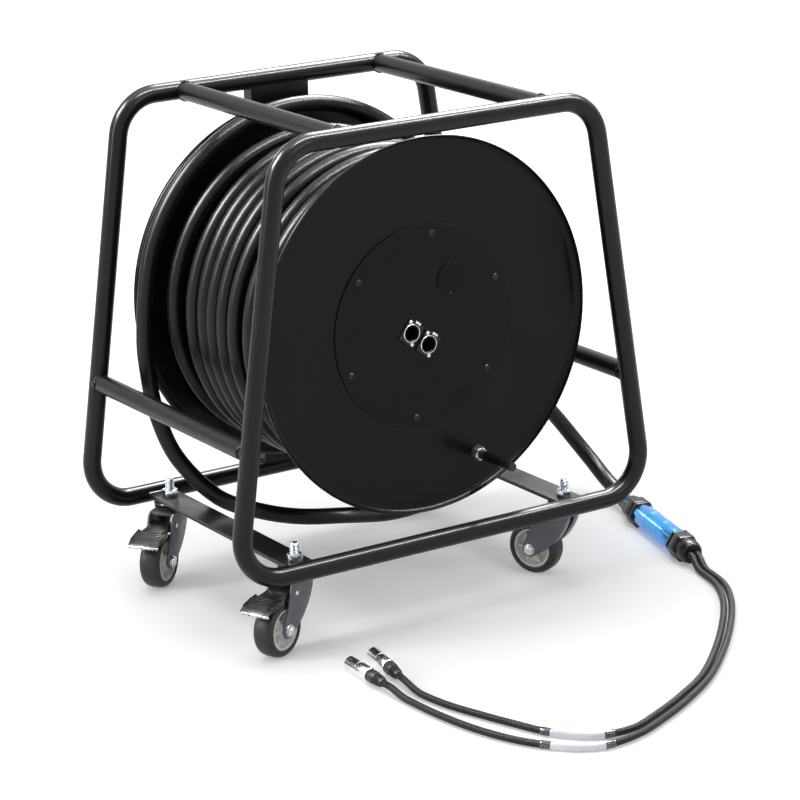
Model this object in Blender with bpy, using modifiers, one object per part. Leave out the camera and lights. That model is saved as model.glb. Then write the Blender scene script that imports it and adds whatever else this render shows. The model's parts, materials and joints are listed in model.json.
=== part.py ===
import math

import bmesh
import bpy
import numpy as np
from mathutils import Matrix, Vector

# Every length is in metres. +Z is up, +X runs along the trolley, and the drum's panel faces -Y.
# The origin lies on the floor under the middle of the trolley.
CLEARANCE = 0.0003
MERGE = 0.0001

# Trolley frame of bent tube
TUBE_DIAMETER = 0.025
BOTTOM_HALF_WIDTH = 0.3185
TOP_HALF_WIDTH = 0.237
LOOP_RISE = 0.549
LOOP_BEND = 0.057
LOOP_DEPTH = 0.200
TOP_TUBE_LEFT_X = -0.146
TOP_TUBE_RIGHT_X = 0.162
SIDE_TUBE_RISE = 0.170
BAR_WIDTH = 0.040
BAR_THICKNESS = 0.005

# Casters
CASTER_HEIGHT = 0.1095
CASTER_SIDE_INSET = 0.106
CASTER_END_INSET = 0.037
CASTER_TRAIL = 0.044
WHEEL_RADIUS = 0.037
TYRE_WIDTH = 0.029
RIM_RADIUS = 0.027
RIM_WIDTH = 0.026
HEAD_RADIUS = 0.0225
STEM_DIAMETER = 0.012
STEM_RISE = 0.0245
STEM_NUT_FLATS = 0.019
STEM_NUT_HEIGHT = 0.010
FORK_PLATE = 0.003
FORK_SLACK = 0.0015
WHEEL_BOLT_DIAMETER = 0.008
WHEEL_BOLT_FLATS = 0.013
PEDAL_WIDTH = 0.044
PEDAL_REACH = 0.095
PEDAL_PLATE = 0.0025
PEDAL_PIVOT_X = 0.024
PEDAL_PIVOT_Z = 0.0815
PEDAL_CREST = 0.0035
PEDAL_KNEE = 0.020
PEDAL_FALL = 0.004
PEDAL_PAD_START = 0.036
PEDAL_LIP = 0.010

# Drum, measured from its axle
AXLE_RISE = 0.274
AXLE_DIAMETER = 0.025
DRUM_FRONT = 0.1485
DRUM_REAR = 0.1595
FLANGE_RADIUS = 0.250
FLANGE_SHEET = 0.0018
FLANGE_ROLL = 0.0105
BARREL_RADIUS = 0.112
BARREL_WALL = 0.003
BEARING_RADIUS = 0.026
BEARING_WIDTH = 0.015
BEARING_INSET = 0.050
REAR_INSET = 0.017
DRUM_TURN = math.radians(-37.0)

# Panel in the middle of the front flange
PANEL_RADIUS = 0.1353
PANEL_SHEET = 0.0015
PANEL_SCREW_CIRCLE = 0.122
PANEL_SCREW_RADIUS = 0.0045
PANEL_SCREW_HEIGHT = 0.0015
PANEL_SCREWS = 6
BADGE_RADIUS = 0.021
BADGE_OFFSET = 0.071
BADGE_SHEET = 0.0012
SOCKET_PLACES = {"left": (-0.0128, -0.0172), "right": (0.0190, -0.0170)}
SOCKET_WIDTH = 0.026
SOCKET_TALL = 0.031
SOCKET_PLATE = 0.0018
SOCKET_RING_RADIUS = 0.0125
SOCKET_RING_RISE = 0.0018
SOCKET_BODY_RADIUS = 0.0115
SOCKET_BORE_RADIUS = 0.0096
SOCKET_BORE_DEPTH = 0.022
SOCKET_BODY_DEPTH = 0.026
JACK_WIDTH = 0.0118
JACK_TALL = 0.0082
JACK_DEPTH = 0.0050
TAB_WIDTH = 0.009
TAB_TALL = 0.0035
TAB_CENTRE = 0.0154
TAB_RISE = 0.0035
TAB_DEPTH = 0.006

# Winding handle
HANDLE_CIRCLE = 0.204
HANDLE_ANGLE = math.radians(-66.6)
HANDLE_TIP = 0.232
GRIP_DIAMETER = 0.013
SPINDLE_DIAMETER = 0.008
HANDLE_NUT_FLATS = 0.017
HANDLE_NUT_HEIGHT = 0.0075
HANDLE_WASHER_RADIUS = 0.011
HANDLE_WASHER = 0.002

# Cable: the outer layer's turns are given by where each one crosses the drum's left side
CABLE_DIAMETER = 0.022
CORE_RADIUS = 0.1987
WINDING_RADIUS = 0.212
WINDING_START_TURN = -0.3
WINDING_START_Y = 0.139
TURN_PLACES = (0.126, 0.074, 0.045, 0.020, -0.004, -0.034, -0.071, -0.099, -0.122)
WINDING_END_TURN = 8.611
WINDING_END_Y = -0.1365
POINTS_PER_TURN = 24

# Splitter and its two leads, which lie on the floor
SPLITTER_CENTRE = (0.403, -0.129)
SPLITTER_HEADING = math.radians(-105.1)
SPLITTER_RADIUS = 0.017
SPLITTER_LENGTH = 0.126
GROOVE_DEPTH = 0.0008
GROOVE_WIDTH = 0.0016
GLAND_FLATS = 0.036
GLAND_LENGTH = 0.050
LEAD_DIAMETER = 0.009
SLEEVE_DIAMETER = 0.0108
SLEEVE_LENGTH = 0.064
PLUG_DIAMETER = 0.019
PLUG_SHELL_LENGTH = 0.050
PLUG_BORE_RADIUS = 0.0079
PLUG_BORE_DEPTH = 0.011
BOOT_LENGTH = 0.032

TUBE_RADIUS = TUBE_DIAMETER / 2
LOOP_BOTTOM = CASTER_HEIGHT + BAR_THICKNESS / 2
LOOP_TOP = LOOP_BOTTOM + LOOP_RISE
AXLE_HEIGHT = LOOP_BOTTOM + AXLE_RISE
CASTER_X = BOTTOM_HALF_WIDTH - CASTER_SIDE_INSET
CASTER_Y = LOOP_DEPTH - CASTER_END_INSET
PANEL_FACE = DRUM_FRONT + FLANGE_SHEET + CLEARANCE + PANEL_SHEET

for leftover in list(bpy.data.objects):
    bpy.data.objects.remove(leftover, do_unlink=True)

parts = bpy.data.collections.new("network_snake_cable")
tools = bpy.data.collections.new("cutters")
for group in (parts, tools):
    bpy.context.scene.collection.children.link(group)


def material(name, colour, roughness, metallic=0.0):
    made = bpy.data.materials.new(name)
    made.use_nodes = True
    shader = made.node_tree.nodes["Principled BSDF"]
    shader.inputs["Base Color"].default_value = (*colour, 1.0)
    shader.inputs["Roughness"].default_value = roughness
    shader.inputs["Metallic"].default_value = metallic
    return made


def add(name, data, surface, parent):
    """Puts a mesh or curve in the scene: as a part with a surface, or else as a cutter."""
    made = bpy.data.objects.new(name, data)
    made.parent = parent
    if surface is None:
        tools.objects.link(made)
        made.hide_render = True
        made.display_type = "WIRE"
    else:
        parts.objects.link(made)
        data.materials.append(surface)
    return made


def empty(name, place, turn=(0.0, 0.0, 0.0), parent=None):
    made = bpy.data.objects.new(name, None)
    made.location = place
    made.rotation_euler = turn
    made.parent = parent
    parts.objects.link(made)
    return made


def prism(name, sides, radius, bottom, top, surface=None, parent=None, at=(0.0, 0.0), turn=0.0):
    """A cylinder, or a hexagon for six sides, along the local Z axis."""
    shape = bmesh.new()
    place = Matrix.Translation((at[0], at[1], (bottom + top) / 2)) @ Matrix.Rotation(turn, 4, "Z")
    bmesh.ops.create_cone(shape, cap_ends=True, segments=sides, radius1=radius, radius2=radius,
                          depth=top - bottom, matrix=place)
    mesh = bpy.data.meshes.new(name)
    shape.to_mesh(mesh)
    shape.free()
    return add(name, mesh, surface, parent)


def hexagon(name, flats, bottom, top, surface=None, parent=None, at=(0.0, 0.0), turn=0.0):
    return prism(name, 6, flats / math.sqrt(3), bottom, top, surface, parent, at, turn)


def box(name, low, high, surface=None, parent=None):
    shape = bmesh.new()
    size = Vector(high) - Vector(low)
    middle = (Vector(high) + Vector(low)) / 2
    bmesh.ops.create_cube(shape, size=1.0, matrix=Matrix.LocRotScale(middle, None, size))
    mesh = bpy.data.meshes.new(name)
    shape.to_mesh(mesh)
    shape.free()
    return add(name, mesh, surface, parent)


def turned(name, profile, steps, surface=None, parent=None, closed=False):
    """Turns a profile of (radius, height) points about Z: top first, then down its outer side."""
    mesh = bpy.data.meshes.new(name)
    count = len(profile)
    edges = [(i, i + 1) for i in range(count - 1)]
    if closed:
        edges.append((count - 1, 0))
    mesh.from_pydata([(radius, 0.0, height) for radius, height in profile], edges, [])
    made = add(name, mesh, surface, parent)
    screw = made.modifiers.new("Screw", "SCREW")
    screw.steps = steps
    screw.render_steps = steps
    screw.use_merge_vertices = True
    screw.merge_threshold = MERGE
    return made


def tube(name, points, radius, sides, surface=None, parent=None, cyclic=False):
    curve = bpy.data.curves.new(name, "CURVE")
    curve.dimensions = "3D"
    curve.bevel_depth = radius
    curve.bevel_resolution = sides // 2 - 2
    curve.use_fill_caps = True
    spline = curve.splines.new("POLY")
    spline.points.add(len(points) - 1)
    for point, place in zip(spline.points, points):
        point.co = (*place, 1.0)
    spline.use_cyclic_u = cyclic
    return add(name, curve, surface, parent)


def plate(name, outline, low, high, surface=None, parent=None, upright=True):
    """A flat outline given thickness: from y low to high where upright, otherwise from z low to high."""
    curve = bpy.data.curves.new(name, "CURVE")
    curve.dimensions = "2D"
    curve.fill_mode = "BOTH"
    curve.extrude = (high - low) / 2
    spline = curve.splines.new("POLY")
    spline.points.add(len(outline) - 1)
    for point, (across, up) in zip(spline.points, outline):
        point.co = (across, up, 0.0, 1.0)
    spline.use_cyclic_u = True
    flat = add(name, curve, surface, parent)
    if upright:
        flat.rotation_euler = (math.pi / 2, 0.0, 0.0)
        flat.location = (0.0, (low + high) / 2, 0.0)
    else:
        flat.location = (0.0, 0.0, (low + high) / 2)
    return as_mesh(flat)


def as_mesh(curve_object):
    """Swaps a curve object for the mesh that it shows, with its caps welded on."""
    bpy.context.view_layer.update()
    shown = curve_object.evaluated_get(bpy.context.evaluated_depsgraph_get())
    mesh = bpy.data.meshes.new_from_object(shown)
    shape = bmesh.new()
    shape.from_mesh(mesh)
    bmesh.ops.remove_doubles(shape, verts=shape.verts, dist=MERGE / 10)
    shape.to_mesh(mesh)
    shape.free()
    name = curve_object.name
    home = curve_object.users_collection[0]
    curve_object.name = name + "_curve"
    made = bpy.data.objects.new(name, mesh)
    home.objects.link(made)
    made.hide_render = curve_object.hide_render
    made.display_type = curve_object.display_type
    made.parent = curve_object.parent
    made.matrix_world = curve_object.matrix_world.copy()
    bpy.data.objects.remove(curve_object, do_unlink=True)
    return made


def combine(target, operation, *operands):
    for operand in operands:
        step = target.modifiers.new(operation.title(), "BOOLEAN")
        step.operation = operation
        step.solver = "EXACT"
        step.object = operand
    return target


def cut(target, *cutters):
    return combine(target, "DIFFERENCE", *cutters)


def fuse(target, *pieces):
    return combine(target, "UNION", *pieces)


def smooth_route(route, spacing):
    """Reads evenly spaced points from a smooth curve through the route, whose end runs stay straight."""
    knots = np.array([tuple(point) for point in route], dtype=float)
    dense = []
    for a, b, c, d in zip(knots, knots[1:], knots[2:], knots[3:]):
        for t in np.linspace(0.0, 1.0, 24, endpoint=False):
            dense.append(0.5 * (2 * b + (c - a) * t + (2 * a - 5 * b + 4 * c - d) * t ** 2
                                + (3 * b - a - 3 * c + d) * t ** 3))
    dense.append(knots[-2])
    dense = np.array(dense)
    along = np.concatenate([[0.0], np.cumsum(np.linalg.norm(np.diff(dense, axis=0), axis=1))])
    marks = np.linspace(0.0, along[-1], max(2, round(along[-1] / spacing) + 1))
    middle = [tuple(np.interp(mark, along, dense[:, axis]) for axis in range(3)) for mark in marks]
    return [tuple(knots[0]), *middle, tuple(knots[-1])]


black_paint = material("black powder coat", (0.018, 0.018, 0.02), 0.38)
satin_paint = material("black satin sheet", (0.012, 0.012, 0.014), 0.45)
zinc = material("zinc plated steel", (0.72, 0.73, 0.76), 0.28, 1.0)
steel = material("bright steel", (0.55, 0.56, 0.58), 0.3, 1.0)
nickel = material("nickel plated shell", (0.78, 0.78, 0.78), 0.25, 1.0)
cable_jacket = material("black cable jacket", (0.02, 0.02, 0.021), 0.5)
tyre_rubber = material("black tyre", (0.015, 0.015, 0.016), 0.42)
rim_plastic = material("grey rim plastic", (0.30, 0.31, 0.32), 0.5)
black_plastic = material("black plastic", (0.015, 0.015, 0.016), 0.45)
sleeve_plastic = material("white heat shrink", (0.8, 0.81, 0.83), 0.4)
blue_anodised = material("blue anodised aluminium", (0.02, 0.24, 0.62), 0.22, 1.0)


def loop_point(side, rise):
    """The x of a loop's upright at a rise above the bottom tube's axis."""
    return side * (BOTTOM_HALF_WIDTH + (TOP_HALF_WIDTH - BOTTOM_HALF_WIDTH) * rise / LOOP_RISE)


def loop_points(depth):
    """The centre line of a closed loop: four straight runs and four bends of one radius."""
    corners = [Vector((-BOTTOM_HALF_WIDTH, 0.0)), Vector((BOTTOM_HALF_WIDTH, 0.0)),
               Vector((TOP_HALF_WIDTH, LOOP_RISE)), Vector((-TOP_HALF_WIDTH, LOOP_RISE))]
    points = []
    for index, corner in enumerate(corners):
        before = (corners[index - 1] - corner).normalized()
        after = (corners[(index + 1) % 4] - corner).normalized()
        half = before.angle(after) / 2
        centre = corner + (before + after).normalized() * LOOP_BEND / math.sin(half)
        start = corner + before * LOOP_BEND / math.tan(half) - centre
        sweep = math.pi - 2 * half
        for step in range(BEND_STEPS + 1):
            angle = sweep * step / BEND_STEPS
            arm = Matrix.Rotation(angle, 2) @ start
            points.append((centre.x + arm.x, depth, centre.y + arm.y + LOOP_BOTTOM))
    return points


BEND_STEPS = 5
TUBE_SIDES = 12
UPRIGHT_LEAN = math.atan2(BOTTOM_HALF_WIDTH - TOP_HALF_WIDTH, LOOP_RISE)


def around_tube(sides):
    """The radius of a cutter that clears a tube all round, corner to flat."""
    return (TUBE_RADIUS + CLEARANCE) / math.cos(math.pi / sides)


def tube_cutter(name, place, turn):
    """A cutter along the local Z axis that copes a piece to a frame tube."""
    cutter = prism(name, 24, around_tube(24), -0.06, 0.06)
    cutter.location = place
    cutter.rotation_euler = turn
    return cutter


def cross_tube(name, x, height, lean):
    """A tube between the two loops, coped to them at both ends."""
    made = prism(name, TUBE_SIDES, TUBE_RADIUS, -LOOP_DEPTH, LOOP_DEPTH, black_paint,
                 turn=math.pi / TUBE_SIDES)
    made.location = (x, 0.0, height)
    made.rotation_euler = (math.pi / 2, 0.0, 0.0)
    for end in (-1, 1):
        cut(made, tube_cutter(f"{name}_cope_{end}", (x, end * LOOP_DEPTH, height), (0.0, lean, 0.0)))
    return made


tube("front_frame", loop_points(-LOOP_DEPTH), TUBE_RADIUS, TUBE_SIDES, black_paint, cyclic=True)
tube("rear_frame", loop_points(LOOP_DEPTH), TUBE_RADIUS, TUBE_SIDES, black_paint, cyclic=True)
cross_tube("top_tube_left", TOP_TUBE_LEFT_X, LOOP_TOP, math.pi / 2)
cross_tube("top_tube_right", TOP_TUBE_RIGHT_X, LOOP_TOP, math.pi / 2)
for side_name, side in (("left", -1), ("right", 1)):
    cross_tube(f"side_tube_{side_name}", loop_point(side, SIDE_TUBE_RISE), LOOP_BOTTOM + SIDE_TUBE_RISE,
               -side * UPRIGHT_LEAN)

STEM_RADIUS = STEM_DIAMETER / 2
BAR_END = LOOP_DEPTH - TUBE_RADIUS - CLEARANCE
for side_name, side in (("left", -1), ("right", 1)):
    middle = side * CASTER_X
    bar = box(f"caster_bar_{side_name}",
              (middle - BAR_WIDTH / 2, -BAR_END, CASTER_HEIGHT),
              (middle + BAR_WIDTH / 2, BAR_END, CASTER_HEIGHT + BAR_THICKNESS), black_paint)
    for end in (-1, 1):
        cut(bar, prism(f"caster_bar_{side_name}_hole_{end}", 16, STEM_RADIUS + 2 * CLEARANCE,
                       CASTER_HEIGHT - 0.01, CASTER_HEIGHT + 0.02, at=(middle, end * CASTER_Y)))

# Channel in the rear loop that carries the axle
SUPPORT_WIDTH = 0.090
SUPPORT_SHEET = 0.003
SUPPORT_DEPTH = 0.020
SUPPORT_FACE = LOOP_DEPTH - SUPPORT_DEPTH / 2
AXLE_RADIUS = AXLE_DIAMETER / 2


def channel_outline():
    half, sheet, front = SUPPORT_WIDTH / 2, SUPPORT_SHEET, SUPPORT_FACE
    back = front + SUPPORT_DEPTH
    return [(-half, front), (half, front), (half, back), (half - sheet, back), (half - sheet, front + sheet),
            (sheet - half, front + sheet), (sheet - half, back), (-half, back)]


support = plate("drum_support", channel_outline(), LOOP_BOTTOM, LOOP_TOP, black_paint, upright=False)
for end_name, height in (("bottom", LOOP_BOTTOM), ("top", LOOP_TOP)):
    cut(support, tube_cutter(f"drum_support_cope_{end_name}", (0.0, LOOP_DEPTH, height), (0.0, math.pi / 2, 0.0)))
axle_hole = prism("drum_support_hole", 16, AXLE_RADIUS + 2 * CLEARANCE, -0.03, 0.03)
axle_hole.location = (0.0, SUPPORT_FACE, AXLE_HEIGHT)
axle_hole.rotation_euler = (math.pi / 2, 0.0, 0.0)
cut(support, axle_hole)

# The trolley's fixed pieces on the drum's axis: local Z runs forward from the axle's middle
axle_line = empty("axle_line", (0.0, 0.0, AXLE_HEIGHT), (math.pi / 2, 0.0, 0.0))
AXLE_STEP = DRUM_FRONT - BEARING_INSET
AXLE_THREAD_RADIUS = 0.010
AXLE_COLLAR_RADIUS = 0.019
AXLE_FOOT_RADIUS = 0.034
AXLE_FOOT = 0.005
AXLE_HEAD_RADIUS = 0.018
AXLE_HEAD = 0.004
AXLE_NUT_FLATS = 0.030
AXLE_NUT_HEIGHT = 0.010
AXLE_WASHER_RADIUS = 0.0165
AXLE_WASHER = 0.0025
COLLAR_FRONT = -(DRUM_REAR - REAR_INSET + CLEARANCE)
FOOT_BACK = -(SUPPORT_FACE - CLEARANCE)
SUPPORT_BACK = -(SUPPORT_FACE + SUPPORT_SHEET + CLEARANCE)
AXLE_TIP = AXLE_STEP + AXLE_WASHER + AXLE_NUT_HEIGHT + 0.003
turned("axle", [(0.0, AXLE_TIP), (AXLE_THREAD_RADIUS, AXLE_TIP), (AXLE_THREAD_RADIUS, AXLE_STEP),
                (AXLE_RADIUS, AXLE_STEP), (AXLE_RADIUS, COLLAR_FRONT), (AXLE_COLLAR_RADIUS, COLLAR_FRONT),
                (AXLE_COLLAR_RADIUS, FOOT_BACK + AXLE_FOOT), (AXLE_FOOT_RADIUS, FOOT_BACK + AXLE_FOOT),
                (AXLE_FOOT_RADIUS, FOOT_BACK), (AXLE_RADIUS, FOOT_BACK), (AXLE_RADIUS, SUPPORT_BACK),
                (AXLE_HEAD_RADIUS, SUPPORT_BACK), (AXLE_HEAD_RADIUS, SUPPORT_BACK - AXLE_HEAD),
                (0.0, SUPPORT_BACK - AXLE_HEAD)], 16, steel, axle_line)
nut_back = AXLE_STEP + CLEARANCE
axle_nut = prism("axle_nut", 16, AXLE_WASHER_RADIUS, nut_back, nut_back + AXLE_WASHER, zinc, axle_line)
fuse(axle_nut, hexagon("axle_nut_hexagon", AXLE_NUT_FLATS, nut_back + AXLE_WASHER / 2,
                       nut_back + AXLE_WASHER + AXLE_NUT_HEIGHT, parent=axle_line))
cut(axle_nut, prism("axle_nut_bore", 16, AXLE_THREAD_RADIUS + CLEARANCE * 2, nut_back - 0.01,
                    nut_back + 0.03, parent=axle_line))

# Each caster: where it stands, the heading that its wheel trails to, and whether it has a brake
CASTERS = {"front_left": (-1, -1, -156.0, True), "rear_left": (-1, 1, -144.0, True),
           "front_right": (1, -1, 115.0, False), "rear_right": (1, 1, 129.7, False)}
HEAD_TOP = CASTER_HEIGHT - CLEARANCE
HEAD_BOTTOM = HEAD_TOP - 0.0095
CROWN_TOP = HEAD_BOTTOM - CLEARANCE
CROWN_THICKNESS = 0.005
CROWN_BOTTOM = CROWN_TOP - CROWN_THICKNESS
CROWN_RADIUS = 0.0205
KINGPIN_RADIUS = 0.005
RIVET_RADIUS = 0.008
RIVET_HEAD = 0.003
FORK_INSIDE = TYRE_WIDTH / 2 + FORK_SLACK
FORK_OUTSIDE = FORK_INSIDE + FORK_PLATE
LEG_TIP_RADIUS = 0.011
LEG_BACK = -0.014
LEG_FRONT = 0.030
PEDAL_PIVOT = (PEDAL_PIVOT_X, PEDAL_PIVOT_Z)
PIVOT_RADIUS = 0.0025
WHEEL_BOLT_RADIUS = WHEEL_BOLT_DIAMETER / 2
WHEEL_BOLT_HEAD = 0.005


def leg_outline():
    """One leg of a fork, seen along its wheel's axle: the crown above and a round end at the axle."""
    tip = [(CASTER_TRAIL + LEG_TIP_RADIUS * math.cos(angle), WHEEL_RADIUS + LEG_TIP_RADIUS * math.sin(angle))
           for angle in np.radians(np.linspace(20.0, -160.0, 6))]
    return [(LEG_BACK, CROWN_TOP), (LEG_FRONT, CROWN_TOP), (LEG_FRONT + 0.006, CROWN_BOTTOM - 0.006),
            *tip, (LEG_BACK, CROWN_BOTTOM - 0.010)]


def caster_stem(name, parent):
    """The threaded stem, its race and the riveted pin that the fork turns on, with the lock nut."""
    nut_bottom = CASTER_HEIGHT + BAR_THICKNESS + CLEARANCE
    top = CASTER_HEIGHT + BAR_THICKNESS + STEM_RISE
    rivet_top = CROWN_BOTTOM - CLEARANCE
    stem = turned(name, [(0.0, top), (STEM_RADIUS - 0.001, top), (STEM_RADIUS, top - 0.001),
                         (STEM_RADIUS, HEAD_TOP), (HEAD_RADIUS, HEAD_TOP), (HEAD_RADIUS, HEAD_BOTTOM),
                         (KINGPIN_RADIUS, HEAD_BOTTOM), (KINGPIN_RADIUS, rivet_top),
                         (RIVET_RADIUS, rivet_top), (RIVET_RADIUS - 0.001, rivet_top - RIVET_HEAD),
                         (0.0, rivet_top - RIVET_HEAD)], 12, zinc, parent)
    return fuse(stem, hexagon(f"{name}_nut", STEM_NUT_FLATS, nut_bottom, nut_bottom + STEM_NUT_HEIGHT,
                              parent=parent))


def across(name, sides, radius, low, high, place, surface=None, parent=None):
    """A cylinder along the local Y axis through a place in the XZ plane."""
    made = prism(name, sides, radius, -high, -low, surface, parent)
    made.location = (place[0], 0.0, place[1])
    made.rotation_euler = (math.pi / 2, 0.0, 0.0)
    return made


def caster_fork(name, parent, braked):
    crown = prism(name, 16, CROWN_RADIUS, CROWN_BOTTOM, CROWN_TOP, black_paint, parent)
    for leg_name, inner in (("near", -FORK_OUTSIDE), ("far", FORK_INSIDE)):
        fuse(crown, plate(f"{name}_leg_{leg_name}", leg_outline(), inner, inner + FORK_PLATE, parent=parent))
    fuse(crown, box(f"{name}_bridge", (LEG_BACK + 0.001, -FORK_OUTSIDE + 0.001, CROWN_BOTTOM + 0.0005),
                    (LEG_FRONT - 0.012, FORK_OUTSIDE - 0.001, CROWN_TOP - 0.0005), parent=parent))
    cut(crown, prism(f"{name}_pin_hole", 12, KINGPIN_RADIUS + 2 * CLEARANCE, CROWN_BOTTOM - 0.002,
                     CROWN_TOP + 0.002, parent=parent))
    cut(crown, across(f"{name}_bolt_hole", 10, WHEEL_BOLT_RADIUS + 2 * CLEARANCE, -0.03, 0.03,
                      (CASTER_TRAIL, WHEEL_RADIUS), parent=parent))
    if braked:
        cut(crown, across(f"{name}_pivot_hole", 8, PIVOT_RADIUS + 2 * CLEARANCE, -0.03, 0.03,
                          PEDAL_PIVOT, parent=parent))
    return crown


def wheel_bolt(name, parent):
    """The wheel's bolt, with its head on one side of the fork and its nut on the other."""
    place = (CASTER_TRAIL, WHEEL_RADIUS)
    face = FORK_OUTSIDE + CLEARANCE
    bolt = across(name, 10, WHEEL_BOLT_RADIUS, -face - WHEEL_BOLT_HEAD, face + WHEEL_BOLT_HEAD, place,
                  zinc, parent)
    for end_name, low in (("head", face), ("nut", -face - WHEEL_BOLT_HEAD)):
        fuse(bolt, across(f"{name}_{end_name}", 6, WHEEL_BOLT_FLATS / math.sqrt(3), low,
                          low + WHEEL_BOLT_HEAD, place, parent=parent))
    return bolt


def wheel(place_name, fork):
    """The tyre and its rim, whose origins lie on the axle."""
    hub = empty(f"wheel_axis_{place_name}", (CASTER_TRAIL, 0.0, WHEEL_RADIUS), (math.pi / 2, 0.0, 0.0), fork)
    half, shoulder, seat = TYRE_WIDTH / 2, 0.005, RIM_RADIUS + CLEARANCE * 2
    turned(f"tyre_{place_name}", [(WHEEL_RADIUS - shoulder, half), (WHEEL_RADIUS - 0.0013, half - 0.0037),
                                  (WHEEL_RADIUS, half - 0.0085), (WHEEL_RADIUS, 0.0085 - half),
                                  (WHEEL_RADIUS - 0.0013, 0.0037 - half), (WHEEL_RADIUS - shoulder, -half),
                                  (seat, -half), (seat, half)], 20, tyre_rubber, hub, closed=True)
    rim_half, bore = RIM_WIDTH / 2, WHEEL_BOLT_RADIUS + 2 * CLEARANCE
    boss, dish = 0.0095, 0.007
    turned(f"rim_{place_name}", [(boss, half), (boss, rim_half - dish), (RIM_RADIUS, rim_half),
                                 (RIM_RADIUS, -rim_half), (boss, dish - rim_half), (boss, -half),
                                 (bore, -half), (bore, half)], 20, rim_plastic, hub, closed=True)


def brake_pedal(name, fork):
    """The brake's pressed steel pedal, on a pin through the fork's legs."""
    pivot_x, pivot_z = PEDAL_PIVOT
    hinge = empty(f"{name}_axis", (pivot_x, 0.0, pivot_z), (0.0, 0.0, 0.0), fork)
    reach = PEDAL_REACH - pivot_x
    lip = reach - PEDAL_LIP
    heel, under = PEDAL_FALL, PEDAL_FALL + PEDAL_PLATE
    arm_half = FORK_INSIDE - FORK_SLACK
    arm = [(-heel, -heel / 2), (-heel, heel), (PEDAL_KNEE, PEDAL_CREST), (lip, -heel), (lip, -under),
           (PEDAL_KNEE, PEDAL_CREST - PEDAL_PLATE), (heel, -heel / 2)]
    pad = [(PEDAL_PAD_START, PEDAL_PLATE / 3), (reach - PEDAL_PLATE * 2, -PEDAL_PLATE * 2),
           (reach, -PEDAL_LIP), (reach, -PEDAL_LIP - heel), (reach - PEDAL_PLATE, -PEDAL_LIP - heel),
           (reach - PEDAL_PLATE, -PEDAL_LIP), (reach - PEDAL_PLATE * 3, -PEDAL_PLATE * 3),
           (PEDAL_PAD_START, -PEDAL_PLATE * 2 / 3)]
    pedal = plate(name, arm, -arm_half, arm_half, black_paint, hinge)
    fuse(pedal, plate(f"{name}_pad", pad, -PEDAL_WIDTH / 2, PEDAL_WIDTH / 2, parent=hinge))
    fuse(pedal, across(f"{name}_pin", 8, PIVOT_RADIUS, -FORK_OUTSIDE, FORK_OUTSIDE, (0.0, 0.0), parent=hinge))
    return pedal


for place_name, (side, end, heading, braked) in CASTERS.items():
    stand = empty(f"caster_place_{place_name}", (side * CASTER_X, end * CASTER_Y, 0.0))
    caster_stem(f"caster_stem_{place_name}", stand)
    swivel = empty(f"caster_swivel_{place_name}", (0.0, 0.0, 0.0), (0.0, 0.0, math.radians(heading)), stand)
    caster_fork(f"caster_fork_{place_name}", swivel, braked)
    wheel_bolt(f"wheel_bolt_{place_name}", swivel)
    wheel(place_name, swivel)
    if braked:
        brake_pedal(f"brake_pedal_{place_name}", swivel)

# The drum's own frame turns with it: local X and Y lie in the panel, local Z points forward
drum = empty("drum_axis", (0.0, 0.0, AXLE_HEIGHT), (math.pi / 2, 0.0, 0.0))
drum.rotation_euler = (Matrix.Rotation(math.pi / 2, 3, "X") @ Matrix.Rotation(DRUM_TURN, 3, "Z")).to_euler()
DRUM_STEPS = 40
BARREL_STEPS = 24
WEB = 0.003
HUB_WALL = 0.004
FLANGE_HOLE = BARREL_RADIUS - 0.012
REAR_HOLE = AXLE_COLLAR_RADIUS + 0.003


def flange_profile(hole):
    """The pressed flange, from its flat inner face at height 0 to the rolled lip."""
    roll_centre = FLANGE_RADIUS - FLANGE_ROLL
    inner_roll = FLANGE_ROLL - FLANGE_SHEET
    inner = [(roll_centre + inner_roll * math.sin(angle), FLANGE_ROLL - inner_roll * math.cos(angle))
             for angle in np.radians((0.0, 45.0, 90.0))]
    outer = [(roll_centre + FLANGE_ROLL * math.sin(angle), FLANGE_ROLL - FLANGE_ROLL * math.cos(angle))
             for angle in np.radians((90.0, 60.0, 30.0, 0.0))]
    return [(hole, FLANGE_SHEET), *inner, *outer, (hole, 0.0)]


def barrel_profile():
    """The barrel's wall with a web near each end, whose hubs hold the two bearings."""
    inside = BARREL_RADIUS - BARREL_WALL
    seat = BEARING_RADIUS + CLEARANCE
    hub = seat + HUB_WALL
    front_web = DRUM_FRONT - BEARING_INSET
    rear_web = -(DRUM_REAR - REAR_INSET)
    top, bottom = DRUM_FRONT - CLEARANCE, CLEARANCE - DRUM_REAR
    return [(inside, top), (BARREL_RADIUS, top), (BARREL_RADIUS, bottom), (inside, bottom),
            (inside, rear_web), (seat, rear_web), (seat, rear_web + BEARING_WIDTH),
            (hub, rear_web + BEARING_WIDTH), (hub, rear_web + WEB), (inside, rear_web + WEB),
            (inside, front_web - WEB), (hub, front_web - WEB), (hub, front_web - BEARING_WIDTH),
            (seat, front_web - BEARING_WIDTH), (seat, front_web), (inside, front_web)]


turned("drum_barrel", barrel_profile(), BARREL_STEPS, black_paint, drum, closed=True)
bore = AXLE_RADIUS + CLEARANCE
for end_name, low in (("front", AXLE_STEP - BEARING_WIDTH), ("rear", -(DRUM_REAR - REAR_INSET))):
    high = low + BEARING_WIDTH
    turned(f"bearing_{end_name}", [(bore, high), (BEARING_RADIUS, high), (BEARING_RADIUS, low), (bore, low)],
           BARREL_STEPS, steel, drum, closed=True)

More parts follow.
